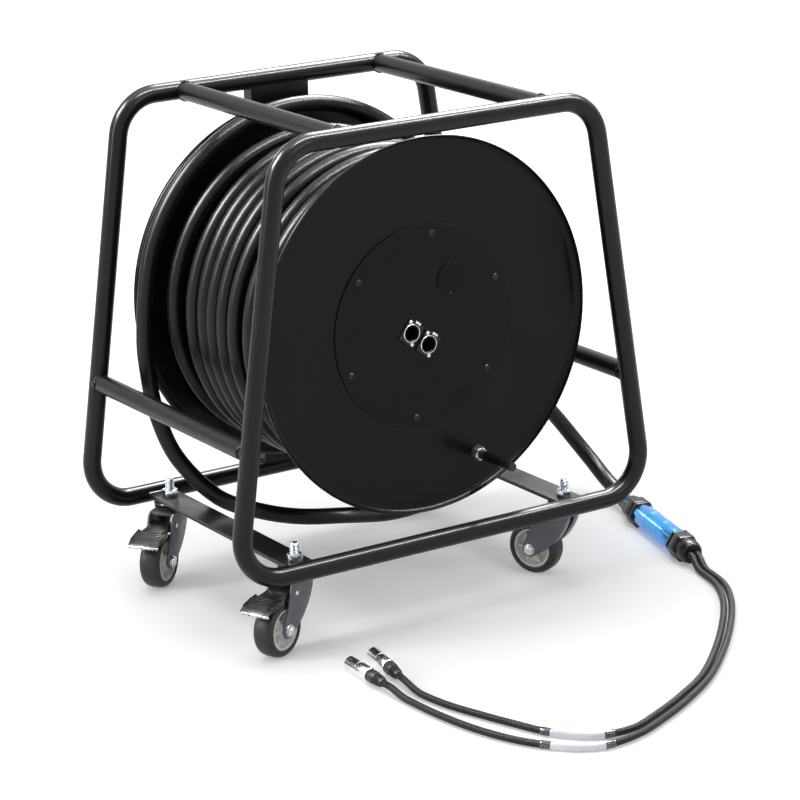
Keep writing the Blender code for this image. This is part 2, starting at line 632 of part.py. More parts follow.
front_face = empty("front_flange_face", (0.0, 0.0, DRUM_FRONT), parent=drum)
rear_face = empty("rear_flange_face", (0.0, 0.0, -DRUM_REAR), (math.pi, 0.0, 0.0), drum)
front_flange = turned("front_flange", flange_profile(FLANGE_HOLE), DRUM_STEPS, satin_paint, front_face,
                      closed=True)
turned("rear_flange", flange_profile(REAR_HOLE), DRUM_STEPS, satin_paint, rear_face, closed=True)

# Panel, badge disc and the two network sockets
panel_back = PANEL_FACE - PANEL_SHEET
panel = prism("panel_plate", 48, PANEL_RADIUS, panel_back, PANEL_FACE, satin_paint, drum)
for index in range(PANEL_SCREWS):
    angle = 2 * math.pi * index / PANEL_SCREWS
    place = (PANEL_SCREW_CIRCLE * math.cos(angle), PANEL_SCREW_CIRCLE * math.sin(angle))
    fuse(panel, prism(f"panel_screw_{index + 1}", 8, PANEL_SCREW_RADIUS, PANEL_FACE - PANEL_SHEET / 2,
                      PANEL_FACE + PANEL_SCREW_HEIGHT, parent=drum, at=place))
prism("badge_disc", 28, BADGE_RADIUS, PANEL_FACE + CLEARANCE, PANEL_FACE + CLEARANCE + BADGE_SHEET,
      satin_paint, drum, at=(0.0, BADGE_OFFSET))

SOCKET_SCREW_RADIUS = 0.0026
SOCKET_SCREW_HEIGHT = 0.0008
SOCKET_SCREW_OFFSET = (0.0095, -0.0120)


def socket(side_name, x, y):
    """A D-type network socket: its plate, ring and body, cut for the plug, the jack and the tab."""
    name = f"socket_{side_name}"
    back = PANEL_FACE + CLEARANCE
    face = back + SOCKET_PLATE
    ring = face + SOCKET_RING_RISE
    body_end = ring - SOCKET_BODY_DEPTH - SOCKET_RING_RISE
    made = box(name, (x - SOCKET_WIDTH / 2, y - SOCKET_TALL / 2, back),
               (x + SOCKET_WIDTH / 2, y + SOCKET_TALL / 2, face), nickel, drum)
    fuse(made, prism(f"{name}_ring", 20, SOCKET_RING_RADIUS, back + 0.0004, ring, parent=drum, at=(x, y)))
    fuse(made, prism(f"{name}_body", 20, SOCKET_BODY_RADIUS, body_end, back + 0.0008, parent=drum, at=(x, y)))
    for sign in (-1, 1):
        place = (x + sign * SOCKET_SCREW_OFFSET[0], y + sign * SOCKET_SCREW_OFFSET[1])
        fuse(made, prism(f"{name}_screw_{sign}", 8, SOCKET_SCREW_RADIUS, back + SOCKET_PLATE / 2,
                         face + SOCKET_SCREW_HEIGHT, parent=drum, at=place))
    floor = ring - SOCKET_BORE_DEPTH
    cut(made, prism(f"{name}_bore", 20, SOCKET_BORE_RADIUS, floor, ring + 0.01, parent=drum, at=(x, y)))
    cut(made, box(f"{name}_jack", (x - JACK_WIDTH / 2, y - JACK_TALL / 2, floor - JACK_DEPTH),
                  (x + JACK_WIDTH / 2, y + JACK_TALL / 2, floor + 0.001), parent=drum))
    slot = tab_box(x, y, CLEARANCE)
    cut(made, box(f"{name}_tab_slot", (*slot[0], panel_back - 0.01), (*slot[1], ring + 0.01), parent=drum))
    cut(panel, prism(f"panel_hole_{side_name}", 20, SOCKET_BODY_RADIUS + 2 * CLEARANCE, panel_back - 0.01,
                     PANEL_FACE + 0.005, parent=drum, at=(x, y)))
    wide_slot = tab_box(x, y, 3 * CLEARANCE)
    cut(panel, box(f"panel_slot_{side_name}", (*wide_slot[0], panel_back - 0.01),
                   (*wide_slot[1], PANEL_FACE + 0.005), parent=drum))
    slide = empty(f"tab_slide_{side_name}", (x, y, face), parent=drum)
    box(f"release_tab_{side_name}", (-TAB_WIDTH / 2, TAB_CENTRE - TAB_TALL / 2, -TAB_DEPTH),
        (TAB_WIDTH / 2, TAB_CENTRE + TAB_TALL / 2, TAB_RISE), steel, slide)


def tab_box(x, y, gap):
    """The corners of a release tab's slot in the panel's plane, with a gap round the tab."""
    half, middle = TAB_WIDTH / 2 + gap, y + TAB_CENTRE
    return (x - half, middle - TAB_TALL / 2 - gap), (x + half, middle + TAB_TALL / 2 + gap)


for side_name, (x, y) in SOCKET_PLACES.items():
    socket(side_name, x, y)

# Winding handle: a bolt through the front flange with a grip that turns on it
handle = empty("handle_axis", (HANDLE_CIRCLE * math.cos(HANDLE_ANGLE - DRUM_TURN),
                               HANDLE_CIRCLE * math.sin(HANDLE_ANGLE - DRUM_TURN), 0.0), parent=drum)
SPINDLE_RADIUS = SPINDLE_DIAMETER / 2
REAR_HEAD_RADIUS = 0.007
REAR_HEAD = 0.0025
END_CAP = 0.002
flange_face = DRUM_FRONT + FLANGE_SHEET
washer_low = flange_face + CLEARANCE
nut_low = washer_low + HANDLE_WASHER
nut_top = nut_low + HANDLE_NUT_HEIGHT
cap_low = HANDLE_TIP - END_CAP
stud = turned("handle_stud", [(0.0, HANDLE_TIP), (GRIP_DIAMETER / 2 - 0.0005, HANDLE_TIP),
                              (GRIP_DIAMETER / 2 - 0.0005, cap_low), (SPINDLE_RADIUS, cap_low),
                              (SPINDLE_RADIUS, nut_low), (HANDLE_WASHER_RADIUS, nut_low),
                              (HANDLE_WASHER_RADIUS, washer_low), (SPINDLE_RADIUS, washer_low),
                              (SPINDLE_RADIUS, DRUM_FRONT - CLEARANCE),
                              (REAR_HEAD_RADIUS, DRUM_FRONT - CLEARANCE),
                              (REAR_HEAD_RADIUS, DRUM_FRONT - CLEARANCE - REAR_HEAD),
                              (0.0, DRUM_FRONT - CLEARANCE - REAR_HEAD)], 16, zinc, handle)
fuse(stud, hexagon("handle_nut", HANDLE_NUT_FLATS, nut_low - HANDLE_WASHER / 2, nut_top, parent=handle))
cut(front_flange, prism("handle_hole", 16, SPINDLE_RADIUS + 2 * CLEARANCE, DRUM_FRONT - 0.01,
                        flange_face + 0.01, parent=handle))
grip_low, grip_high = nut_top + CLEARANCE, cap_low - CLEARANCE
grip_bore, grip_radius = SPINDLE_RADIUS + CLEARANCE, GRIP_DIAMETER / 2
turned("handle_grip", [(grip_bore, grip_high), (grip_radius - 0.001, grip_high),
                       (grip_radius, grip_high - 0.001), (grip_radius, grip_low + 0.001),
                       (grip_radius - 0.001, grip_low), (grip_bore, grip_low)], 16, black_plastic, handle,
       closed=True)


def turn_angle(turn):
    """The angle seen from the front: turn 0 crosses the left side, and turns run clockwise."""
    return math.pi - 2 * math.pi * turn


def turn_depth(turn):
    turns = (WINDING_START_TURN, *range(len(TURN_PLACES)), WINDING_END_TURN)
    return float(np.interp(turn, turns, (WINDING_START_Y, *TURN_PLACES, WINDING_END_Y)))


def on_drum(angle, radius, depth):
    """A point in the drum's frame from its angle, radius and depth in the trolley's frame."""
    return Vector((radius * math.cos(angle - DRUM_TURN), radius * math.sin(angle - DRUM_TURN), -depth))


def heading_on_drum(angle):
    """The clockwise direction at an angle, in the drum's frame."""
    return Vector((math.sin(angle - DRUM_TURN), -math.cos(angle - DRUM_TURN), 0.0))


def winding_points():
    """The outer layer's centre line: a dive out of the core, the helix and a straight end."""
    count = round((WINDING_END_TURN - WINDING_START_TURN) * POINTS_PER_TURN)
    marks = np.linspace(WINDING_START_TURN, WINDING_END_TURN, count + 1)
    helix = [on_drum(turn_angle(mark), WINDING_RADIUS, turn_depth(mark)) for mark in marks]
    start = turn_angle(WINDING_START_TURN)
    outward = on_drum(start, 1.0, 0.0)
    back = -heading_on_drum(start)
    shallow = helix[0] + back * 0.020 - outward * 0.006
    deep = shallow + back * 0.020 - outward * 0.012
    bottom = deep + back * 0.017 - outward * 0.0145
    end_step = 2 * math.asin(CABLE_DIAMETER / 2 / WINDING_RADIUS)
    end = on_drum(turn_angle(WINDING_END_TURN) - end_step, WINDING_RADIUS, WINDING_END_Y)
    return [bottom, deep, shallow, *helix, end]


def least_gap(points, diameter, apart):
    """The least gap between stretches of a tube that lie more than some points apart along it."""
    line = np.array([tuple(point) for point in points])
    starts, runs = line[:-1], np.diff(line, axis=0)
    least = math.inf
    for index in range(len(line)):
        far = np.abs(np.arange(len(starts)) + 0.5 - index) > apart
        offset = line[index] - starts[far]
        share = np.clip((offset * runs[far]).sum(1) / (runs[far] ** 2).sum(1), 0.0, 1.0)
        gaps = np.linalg.norm(offset - runs[far] * share[:, None], axis=1)
        least = min([least, *gaps])
    return least - diameter


CABLE_RADIUS = CABLE_DIAMETER / 2
winding = winding_points()
tube("cable_winding", winding, CABLE_RADIUS, 6, cable_jacket, drum)
print(f"least gap of the winding to itself: {least_gap(winding, CABLE_DIAMETER, 12) * 1000:.2f} mm")
core_front = DRUM_FRONT - REAR_HEAD - 2 * CLEARANCE
core = turned("cable_core", [(BARREL_RADIUS + 2 * CLEARANCE, core_front),
                             (CORE_RADIUS, core_front), (CORE_RADIUS, CLEARANCE - DRUM_REAR),
                             (BARREL_RADIUS + 2 * CLEARANCE, CLEARANCE - DRUM_REAR)], BARREL_STEPS * 2,
              cable_jacket, drum, closed=True)
dive = [winding[0] + (winding[0] - winding[1]).normalized() * CLEARANCE, *winding[1:4],
        winding[3] + (winding[3] - winding[2])]
cut(core, as_mesh(tube("core_pocket", dive, CABLE_RADIUS + 0.0018, 12, parent=drum)))

# The slack last turn and the tail: they start on top of the winding's end, clear of what turns
LAYER_GAP = 0.0008
SLACK_START_RADIUS = WINDING_RADIUS + CABLE_DIAMETER + LAYER_GAP
SLACK_RADIUS = 0.245
SLACK_DEPTH = 0.145
end_angle = turn_angle(WINDING_END_TURN)
end_heading = Vector((math.sin(end_angle), 0.0, -math.cos(end_angle)))
slack_start = Vector((SLACK_START_RADIUS * math.cos(end_angle), WINDING_END_Y,
                      AXLE_HEIGHT + SLACK_START_RADIUS * math.sin(end_angle)))
over_drum = [(SLACK_RADIUS * math.cos(angle), SLACK_DEPTH, AXLE_HEIGHT + SLACK_RADIUS * math.sin(angle))
             for angle in np.radians(np.arange(165.0, 9.0, -15.0))]

splitter_run = Vector((math.cos(SPLITTER_HEADING), math.sin(SPLITTER_HEADING), 0.0))
splitter_height = GLAND_FLATS / 2 + CLEARANCE
splitter_middle = Vector((*SPLITTER_CENTRE, splitter_height))
gland_end = SPLITTER_LENGTH / 2 + CLEARANCE + GLAND_LENGTH
tail_end = splitter_middle - splitter_run * (gland_end + CLEARANCE)
tail_straight = tail_end - splitter_run * CABLE_DIAMETER
snake_route = [slack_start, slack_start + end_heading * CABLE_DIAMETER,
               (0.102, -0.131, 0.168), (0.057, -0.120, 0.142), (0.017, -0.096, 0.123),
               (-0.008, -0.060, 0.108), (-0.035, 0.000, 0.094), (-0.081, 0.040, 0.091),
               (-0.132, 0.060, 0.104), (-0.174, 0.100, 0.122), (-0.216, 0.130, 0.177),
               (-0.240, 0.138, 0.241), (-0.248, 0.144, 0.303), (-0.249, 0.145, 0.358), *over_drum,
               (0.247, 0.139, 0.386), (0.250, 0.135, 0.337), (0.260, 0.132, 0.291),
               (0.280, 0.128, 0.252), (0.311, 0.124, 0.219), (0.354, 0.121, 0.178),
               (0.403, 0.118, 0.122), (0.427, 0.102, 0.084), (0.439, 0.079, 0.057),
               (0.443, 0.052, 0.037), (0.442, 0.0225, 0.0253), tail_straight, tail_end]
snake = smooth_route(snake_route, 2.6 * CABLE_DIAMETER)
tube("snake_cable", snake, CABLE_RADIUS, 8, cable_jacket)

# Splitter: local Z runs from the snake to the leads
splitter = empty("splitter_axis", splitter_middle, (-math.pi / 2, 0.0, SPLITTER_HEADING - math.pi / 2))
half_body = SPLITTER_LENGTH / 2
grooves = []
for centre in (0.024, 0.019, -0.019, -0.024):
    grooves += [(SPLITTER_RADIUS, centre + GROOVE_WIDTH / 2), (SPLITTER_RADIUS - GROOVE_DEPTH, centre),
                (SPLITTER_RADIUS, centre - GROOVE_WIDTH / 2)]
turned("splitter_body", [(0.0, half_body), (SPLITTER_RADIUS, half_body), *grooves,
                         (SPLITTER_RADIUS, -half_body), (0.0, -half_body)], 16, blue_anodised, splitter)


def gland(name, end):
    """A cable gland: its collar, hexagon and domed nut, outward from the splitter's body."""
    seat = empty(f"{name}_seat", (0.0, 0.0, end * (half_body + CLEARANCE)),
                 (0.0, 0.0, 0.0) if end > 0 else (math.pi, 0.0, 0.0), splitter)
    made = hexagon(name, GLAND_FLATS, 0.0, 0.026, black_plastic, seat, turn=math.pi / 6)
    nose = turned(f"{name}_dome", [(0.0, GLAND_LENGTH), (0.0125, GLAND_LENGTH), (0.0150, 0.046),
                                   (0.0170, 0.038), (0.0170, 0.020), (0.0, 0.020)], 16, parent=seat)
    return fuse(made, nose)


gland("rear_gland", -1)
gland("front_gland", 1)

# Leads: one point list each, from the front gland to the back of the plug
LEAD_RADIUS = LEAD_DIAMETER / 2
LEAD_FLOOR = SLEEVE_DIAMETER / 2 + CLEARANCE
PLUG_FLOOR = PLUG_DIAMETER / 2 + CLEARANCE
OUTLET_OFFSET = LEAD_RADIUS + CLEARANCE
LEAD_ROUTES = {
    "upper": ([(0.360, -0.270), (0.342, -0.330), (0.298, -0.398), (0.220, -0.484), (0.135, -0.561),
               (0.068, -0.602), (0.008, -0.631), (-0.041, -0.649), (-0.083, -0.645), (-0.112, -0.624),
               (-0.133, -0.594), (-0.149, -0.553), (-0.164, -0.510), (-0.179, -0.460),
               (-0.186, -0.410)], (-0.180, -0.352), 80.0),
    "lower": ([(0.370, -0.273), (0.352, -0.335), (0.306, -0.405), (0.227, -0.492), (0.141, -0.569),
               (0.073, -0.613), (0.012, -0.644), (-0.047, -0.667), (-0.099, -0.671), (-0.133, -0.654),
               (-0.160, -0.622), (-0.180, -0.585), (-0.196, -0.535), (-0.206, -0.475),
               (-0.210, -0.415)], (-0.209, -0.362), 88.0)}
SLEEVE_STARTS = {"upper": (-0.083, -0.645), "lower": (-0.099, -0.671)}
across_run = Vector((-splitter_run.y, splitter_run.x, 0.0))


def on_floor(points):
    return [(x, y, max(z, LEAD_FLOOR)) for x, y, z in points]


def sleeve_stretch(points, start):
    """The stretch of a lead under its sleeve, from the place nearest to the start."""
    line = np.array(points)
    along = np.concatenate([[0.0], np.cumsum(np.linalg.norm(np.diff(line, axis=0), axis=1))])
    nearest = np.linalg.norm(line[:, :2] - np.array(start), axis=1).argmin()
    low = along[nearest]
    high = low + SLEEVE_LENGTH
    marks = [low, *[mark for mark in along if low < mark < high], high]
    return [tuple(np.interp(mark, along, line[:, axis]) for axis in range(3)) for mark in marks]


def lead(side_name, sign):
    """One lead with its white sleeve, boot and plug."""
    middle, plug_place, plug_heading = LEAD_ROUTES[side_name]
    outlet = splitter_middle + splitter_run * (gland_end + CLEARANCE) + across_run * sign * OUTLET_OFFSET
    run = Vector((math.cos(math.radians(plug_heading)), math.sin(math.radians(plug_heading)), 0.0))
    plug_back = Vector((*plug_place, PLUG_FLOOR))
    route = [outlet, outlet + splitter_run * LEAD_DIAMETER, *[(x, y, LEAD_FLOOR) for x, y in middle],
             plug_back - run * 2 * LEAD_DIAMETER, plug_back]
    points = on_floor(smooth_route(route, 4.5 * LEAD_DIAMETER))
    tube(f"lead_{side_name}", points, LEAD_RADIUS, 8, cable_jacket)
    stretch = sleeve_stretch(points, SLEEVE_STARTS[side_name])
    sleeve = as_mesh(tube(f"sleeve_{side_name}", stretch, SLEEVE_DIAMETER / 2, 12, sleeve_plastic))
    cut(sleeve, as_mesh(tube(f"sleeve_{side_name}_bore", points, LEAD_RADIUS + CLEARANCE, 12)))
    plug = empty(f"plug_axis_{side_name}", plug_back, (math.pi / 2, 0.0, math.radians(plug_heading) + math.pi / 2))
    plug_pieces(side_name, plug)


def plug_pieces(side_name, plug):
    """The plug's boot and metal shell: local Z runs from the lead to the plug's open front."""
    boot_low, boot_high = CLEARANCE, CLEARANCE + BOOT_LENGTH
    turned(f"boot_{side_name}", [(0.0, boot_high), (0.0078, boot_high), (0.0078, boot_high - 0.014),
                                 (0.0066, boot_low + 0.004), (0.0058, boot_low), (0.0, boot_low)], 14,
           black_plastic, plug)
    low = boot_high + CLEARANCE
    high = low + PLUG_SHELL_LENGTH
    radius = PLUG_DIAMETER / 2
    turned(f"plug_shell_{side_name}", [(0.0, high - PLUG_BORE_DEPTH), (PLUG_BORE_RADIUS, high - PLUG_BORE_DEPTH),
                                       (PLUG_BORE_RADIUS, high), (radius - 0.0006, high),
                                       (radius, high - 0.0006), (radius, low + 0.0015),
                                       (radius - 0.0015, low), (0.0, low)], 18, nickel, plug)


lead("upper", -1)
lead("lower", 1)
bpy.context.view_layer.update()
print(f"{sum(1 for piece in parts.objects if piece.type != 'EMPTY')} parts")
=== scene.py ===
import json
import math

import bpy
import numpy as np
from mathutils import Matrix, Vector

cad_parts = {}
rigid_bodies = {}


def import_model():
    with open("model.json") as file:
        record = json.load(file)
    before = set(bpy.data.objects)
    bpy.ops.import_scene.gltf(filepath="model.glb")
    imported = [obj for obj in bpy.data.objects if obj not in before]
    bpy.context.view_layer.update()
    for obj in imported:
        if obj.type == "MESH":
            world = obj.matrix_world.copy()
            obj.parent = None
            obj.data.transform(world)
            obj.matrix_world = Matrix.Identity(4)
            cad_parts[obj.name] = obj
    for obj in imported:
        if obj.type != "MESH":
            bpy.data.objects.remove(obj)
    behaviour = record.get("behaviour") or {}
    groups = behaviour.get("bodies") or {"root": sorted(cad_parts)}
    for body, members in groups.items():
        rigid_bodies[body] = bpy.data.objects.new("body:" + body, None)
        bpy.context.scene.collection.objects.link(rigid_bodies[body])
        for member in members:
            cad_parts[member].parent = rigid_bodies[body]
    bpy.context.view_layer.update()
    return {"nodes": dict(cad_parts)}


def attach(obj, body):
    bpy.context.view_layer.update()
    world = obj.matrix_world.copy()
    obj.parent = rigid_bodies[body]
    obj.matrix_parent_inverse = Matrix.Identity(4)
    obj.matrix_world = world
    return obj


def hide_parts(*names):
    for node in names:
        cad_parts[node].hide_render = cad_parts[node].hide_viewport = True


for leftover in list(bpy.data.objects):
    bpy.data.objects.remove(leftover, do_unlink=True)
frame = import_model()


def linearColour(code):
    shares = [int(code[i:i + 2], 16) / 255 for i in (1, 3, 5)]
    return tuple(s / 12.92 if s <= 0.04045 else ((s + 0.055) / 1.055) ** 2.4 for s in shares) + (1.0,)


def addNode(tree, kind, settings=None, links=None):
    node = tree.nodes.new("ShaderNode" + kind)
    for key, value in (settings or {}).items():
        if isinstance(key, str) and hasattr(node, key):
            setattr(node, key, value)
        else:
            node.inputs[key].default_value = value
    for key, source in (links or {}).items():
        tree.links.new(source, node.inputs[key])
    return node


def startMaterial(name, settings):
    made = bpy.data.materials.new(name)
    made.use_nodes = True
    tree = made.node_tree
    tree.nodes.clear()
    shader = addNode(tree, "BsdfPrincipled", settings)
    addNode(tree, "OutputMaterial", links={"Surface": shader.outputs["BSDF"]})
    place = addNode(tree, "TexCoord")
    return made, tree, shader, place.outputs["Object"]


# The finishes: name, settings of the shader, colour, roughness, bump and span. Colour and roughness each give
# their two ends and a noise: the size of its features in metres, its detail and its roughness. Bump is a
# strength, a depth and the sizes of its noises, and span is the part of the first noise that takes the change
plainNoise = (0.01, 2.0, 0.5)
plainSpan = (0.3, 0.7)
metal = {"Metallic": 1.0}
recipes = {
    # Powder coated steel tube, black gloss: baked smooth with a faint orange peel
    "frame": ("blackGlossPowderCoat", {"Specular IOR Level": 0.12, "Coat Weight": 0.22, "Coat Roughness": 0.14},
              ("#0e0e13", "#15151c", 0.09), (0.28, 0.36, 0.02, 3.0), (0.03, 0.0002, 0.0016)),
    # The casters' forks: the same black dip paint, given a dark grey colour as a painted sheen for the light their
    # sheet reflects
    "fork": ("greyDipPaintedSheet", {"Specular IOR Level": 0.5},
             ("#54545b", "#606067", 0.03), (0.26, 0.36, 0.008, 4.0), (0.10, 0.0003, 0.0022)),
    # Dip painted pressed steel on pedals and bars: a little duller, with tool marks under the paint
    "caster": ("blackDipPaintedSteel", {"Specular IOR Level": 0.3, "Coat Weight": 0.22, "Coat Roughness": 0.12},
               ("#101012", "#18181b", 0.03), (0.30, 0.42, 0.008, 4.0), (0.16, 0.0003, 0.0022)),
    # Painted glints on the pedal's lip and the handle's nut: pale metallic flecks over black paint, standing in for
    # highlights
    "worn": ("shoeWornPaintedSteel", {"Specular IOR Level": 0.6},
             ("#2b2b2f", "#c4c6cb", 0.004, 5.0, 0.65), (0.30, 0.22, 0.004, 5.0, 0.65), (), (0.38, 0.52)),
    # Satin powder coat on the drum's pressed sheet: an even, fine texture with hardly any shine
    "drum": ("blackSatinPowderCoat", {"Specular IOR Level": 0.06, "Coat Weight": 0.12, "Coat Roughness": 0.12},
             ("#0b0b0e", "#101013", 0.12), (0.28, 0.35, 0.035, 4.0), (0.06, 0.00015, 0.0009)),
    # The panel's sheet is a touch darker and smoother
    "panel": ("blackAnodisedPanelSheet", {"Specular IOR Level": 0.11},
              ("#0b0b0e", "#0f0f12", 0.06), (0.32, 0.40, 0.02, 4.0), (0.10, 0.0001, 0.0006)),
    # Zinc electroplate: bright, bluish, with a fine crystalline mottle
    "zinc": ("zincPlatedSteel", metal, ("#cdd2da", "#d9dde4", 0.004, 3.0), (0.15, 0.20, 0.004)),
    # Turned bare steel, greyer than zinc
    "steel": ("turnedBareSteel", metal, ("#8f9298", "#b2b5ba", 0.004, 3.0), (0.24, 0.38, 0.0015)),
    # Nickel plated zinc casting, polished before it is plated: nearly a mirror
    "nickel": ("nickelPlatedCasting", metal, ("#dcdddf", "#efeff0", 0.012), (0.14, 0.20, 0.006, 3.0)),
    # Gold flashed spring contacts
    "gold": ("goldPlatedContacts", metal, ("#c9a24a", "#e3bf6a", 0.002), (0.2, 0.3, 0.001)),
    # Extruded PVC jacket: matt black with a soft sheen, faint grain and scuffs from the drum
    "jacket": ("extrudedPvcJacket", {"Specular IOR Level": 0.22},
               ("#0b0b0d", "#131315", 0.012, 5.0, 0.6), (0.27, 0.36, 0.006, 4.0), (0.10, 0.0003, 0.0008, 0.005)),
    # Braided black nylon sleeving: the braid below gives it relief and paints the strands' crests grey as painted
    # highlights
    "lead": ("braidedNylonSleeving", {"IOR": 1.53, "Specular IOR Level": 0.12, "Roughness": 0.36},
             ("#030304", "#3c3c42"), (), (0.9, 0.0006), (0.60, 0.98)),
    # Clear heat-shrink over the ends of the white sleeves: glossy, with the lead dark beneath it
    "clear": ("clearHeatShrink", {"IOR": 1.46, "Transmission Weight": 0.85},
              ("#b9bac2", "#d0d1d8", 0.008), (0.10, 0.2, 0.004), (0.15, 0.0003, 0.003)),
    # Cast polyurethane tread: smooth black with a slight bloom and specks of floor dust
    "tread": ("castPolyurethaneTread", {"Specular IOR Level": 0.45},
              ("#141417", "#66666b", 0.0022, 5.0, 0.65), (0.36, 0.5, 0.005, 3.0), (0.14, 0.0002, 0.0012),
              (0.60, 0.74)),
    # Moulded nylon wheel centre in warm light grey
    "rim": ("mouldedGreyNylon", {"IOR": 1.53, "Specular IOR Level": 0.4},
            ("#d2d1cd", "#e0dfdb", 0.012, 4.0), (0.28, 0.4, 0.004), (0.12, 0.0001, 0.0009)),
    # Moulded glass-filled nylon: spark eroded grain on glands and grip
    "nylon": ("mouldedBlackNylon", {"IOR": 1.53, "Specular IOR Level": 0.24},
              ("#0f0f11", "#18181a", 0.01, 3.0), (0.26, 0.36, 0.003), (0.12, 0.00012, 0.0005)),
    # Soft rubber of the plugs' bend relief
    "boot": ("softTpeBoot", {"Specular IOR Level": 0.4},
             ("#121214", "#1d1d20", 0.008, 3.0), (0.42, 0.56, 0.003), (0.18, 0.00012, 0.0007)),
    # White heat-shrink sleeve: satin, with faint waves where it gripped the lead
    "sleeve": ("whiteHeatShrink", {"Specular IOR Level": 0.4, "Subsurface Weight": 0.05,
                                   "Subsurface Radius": (0.002, 0.002, 0.002)},
               ("#dcdee3", "#e8eaee", 0.012, 3.0), (0.34, 0.46, 0.006), (0.20, 0.0004, 0.003)),
    # Blue anodised aluminium: bright dyed oxide over turned metal, so it shines in long clear stripes
    "blue": ("blueAnodisedAluminium", metal, ("#4294dc", "#53a3ea", 0.05), (0.17, 0.21, 0.02)),
    # Bare gloss disc where the round label would be
    "badge": ("blackGlossPlasticDisc", {"IOR": 1.49, "Specular IOR Level": 0.10},
              ("#09090b", "#0d0d10", 0.015), (0.16, 0.24, 0.006)),
    # Black chromed socket housing
    "housing": ("blackChromedHousing", {"Specular IOR Level": 0.3},
                ("#0c0c0e", "#121215", 0.006), (0.28, 0.4, 0.003))}
# Two sets of strands cross over the unrolled lead, 12 round it and a turn every 28 mm, a little coarser
# than the real ones so that they show
braid = {"strands": 12, "turns": 36}


def layBraid(tree):
    unrolled = addNode(tree, "UVMap").outputs["UV"]
    strands = []
    for turn in (1, -1):
        scale = (braid["turns"] * braid["strands"] * turn, braid["strands"], 0.0)
        laid = addNode(tree, "Mapping", {"Scale": scale}, {"Vector": unrolled})
        wave = addNode(tree, "TexWave", {"bands_direction": "DIAGONAL", "Scale": math.pi / 10},
                       {"Vector": laid.outputs["Vector"]})
        strands.append(wave.outputs["Fac"])
    return addNode(tree, "Math", {"operation": "MAXIMUM"}, {0: strands[0], 1: strands[1]}).outputs[0]


def mixFinish(name, settings, colour, rough, bump=(), span=plainSpan):
    made, tree, shader, place = startMaterial(name, {"IOR": 1.5, **settings})
    fields = [] if rough else [layBraid(tree)]
    for noise in [colour[2:], rough[2:], *((size,) for size in bump[2:])] if rough else []:
        size, detail, grit = noise + plainNoise[len(noise):]
        fields.append(addNode(tree, "TexNoise", {"Scale": 1 / size, "Detail": detail, "Roughness": grit},
                              {"Vector": place}).outputs["Fac"])
    ramp = addNode(tree, "ValToRGB", links={"Fac": fields[0]})
    for stop, position, code in zip(ramp.color_ramp.elements, span, colour):
        stop.position = position
        stop.color = linearColour(code)
    tree.links.new(ramp.outputs["Color"], shader.inputs["Base Color"])
    if rough:
        spread = addNode(tree, "MapRange", {"From Min": plainSpan[0], "From Max": plainSpan[1],
                                            "To Min": rough[0], "To Max": rough[1]}, {"Value": fields[1]})
        tree.links.new(spread.outputs["Result"], shader.inputs["Roughness"])
    # Where the painted glints are pale they turn metallic as well
    if name == recipes["worn"][0]:
        glintMetal = addNode(tree, "MapRange", {"From Min": span[0], "From Max": span[1]}, {"Value": fields[0]})
        tree.links.new(glintMetal.outputs["Result"], shader.inputs["Metallic"])
    if bump:
        height = fields[2] if rough else fields[0]
        for extra in fields[3:]:
            height = addNode(tree, "Math", {"operation": "ADD"}, {0: height, 1: extra}).outputs[0]
        lifted = addNode(tree, "Bump", {"Strength": bump[0], "Distance": bump[1]}, {"Height": height})
        tree.links.new(lifted.outputs["Normal"], shader.inputs["Normal"])
    return made


finishes = {key: mixFinish(*recipe) for key, recipe in recipes.items()}
print(f"{len(finishes)} finishes mixed")

viewpoint = {"azimuth": -32.58, "elevation": 16.74, "roll": -1.53, "place": (-2.1026, -3.3539, 1.4380),
             "focalPixels": 3080.3, "centre": (388.97, 401.19), "pixels": 800}


def setCamera():
    azimuth, elevation, roll = (math.radians(viewpoint[key]) for key in ("azimuth", "elevation", "roll"))
    back = Vector((math.sin(azimuth) * math.cos(elevation), -math.cos(azimuth) * math.cos(elevation),
                   math.sin(elevation)))
    right = (-back).cross(Vector((0, 0, 1))).normalized()
    up = right.cross(-back)
    across = right * math.cos(roll) + up * math.sin(roll)
    upright = up * math.cos(roll) - right * math.sin(roll)
    bpy.ops.object.camera_add()
    camera = bpy.context.object
    camera.matrix_world = Matrix.Translation(viewpoint["place"]) @ Matrix(
        (across, upright, back)).transposed().to_4x4()
    camera.data.lens = viewpoint["focalPixels"] / viewpoint["pixels"] * camera.data.sensor_width
    camera.data.shift_x = 0.5 - viewpoint["centre"][0] / viewpoint["pixels"]
    camera.data.shift_y = viewpoint["centre"][1] / viewpoint["pixels"] - 0.5
    camera.data.clip_end = 60
    bpy.context.scene.camera = camera


# Place, aim, size and watts. The last four only show in what shines: a long strip over the front right
# for the tubes along X, one on each side for the cable's and the rims' bright streaks, and one at the
# rear for the splitter
lamps = {"canopy": ((-0.2, 0.3, 3.2), (0.0, 0.1, 0.0), (2.6, 2.6), 58),
         "left": ((-3.2, 0.6, 1.5), (0.0, 0.0, 0.3), (0.6, 1.7), 40),
         "front": ((0.8, -3.6, 2.2), (0.0, 0.0, 0.3), (1.6, 0.9), 20),
         "strip": ((1.4, -0.7, 2.6), (1.4, -0.7, 0.0), (3.6, 0.26), 260),
         "glowLeft": ((-1.9, 0.8, 2.4), (0.0, 0.0, 0.4), (1.2, 1.2), 260),
         "glowRight": ((1.6, 1.1, 2.7), (0.0, 0.0, 0.4), (1.6, 0.9), 230),
         "rear": ((0.3, 3.4, 1.2), (0.4, 0.0, 0.1), (1.0, 0.6), 11)}
shineOnly = ("strip", "glowLeft", "glowRight", "rear")


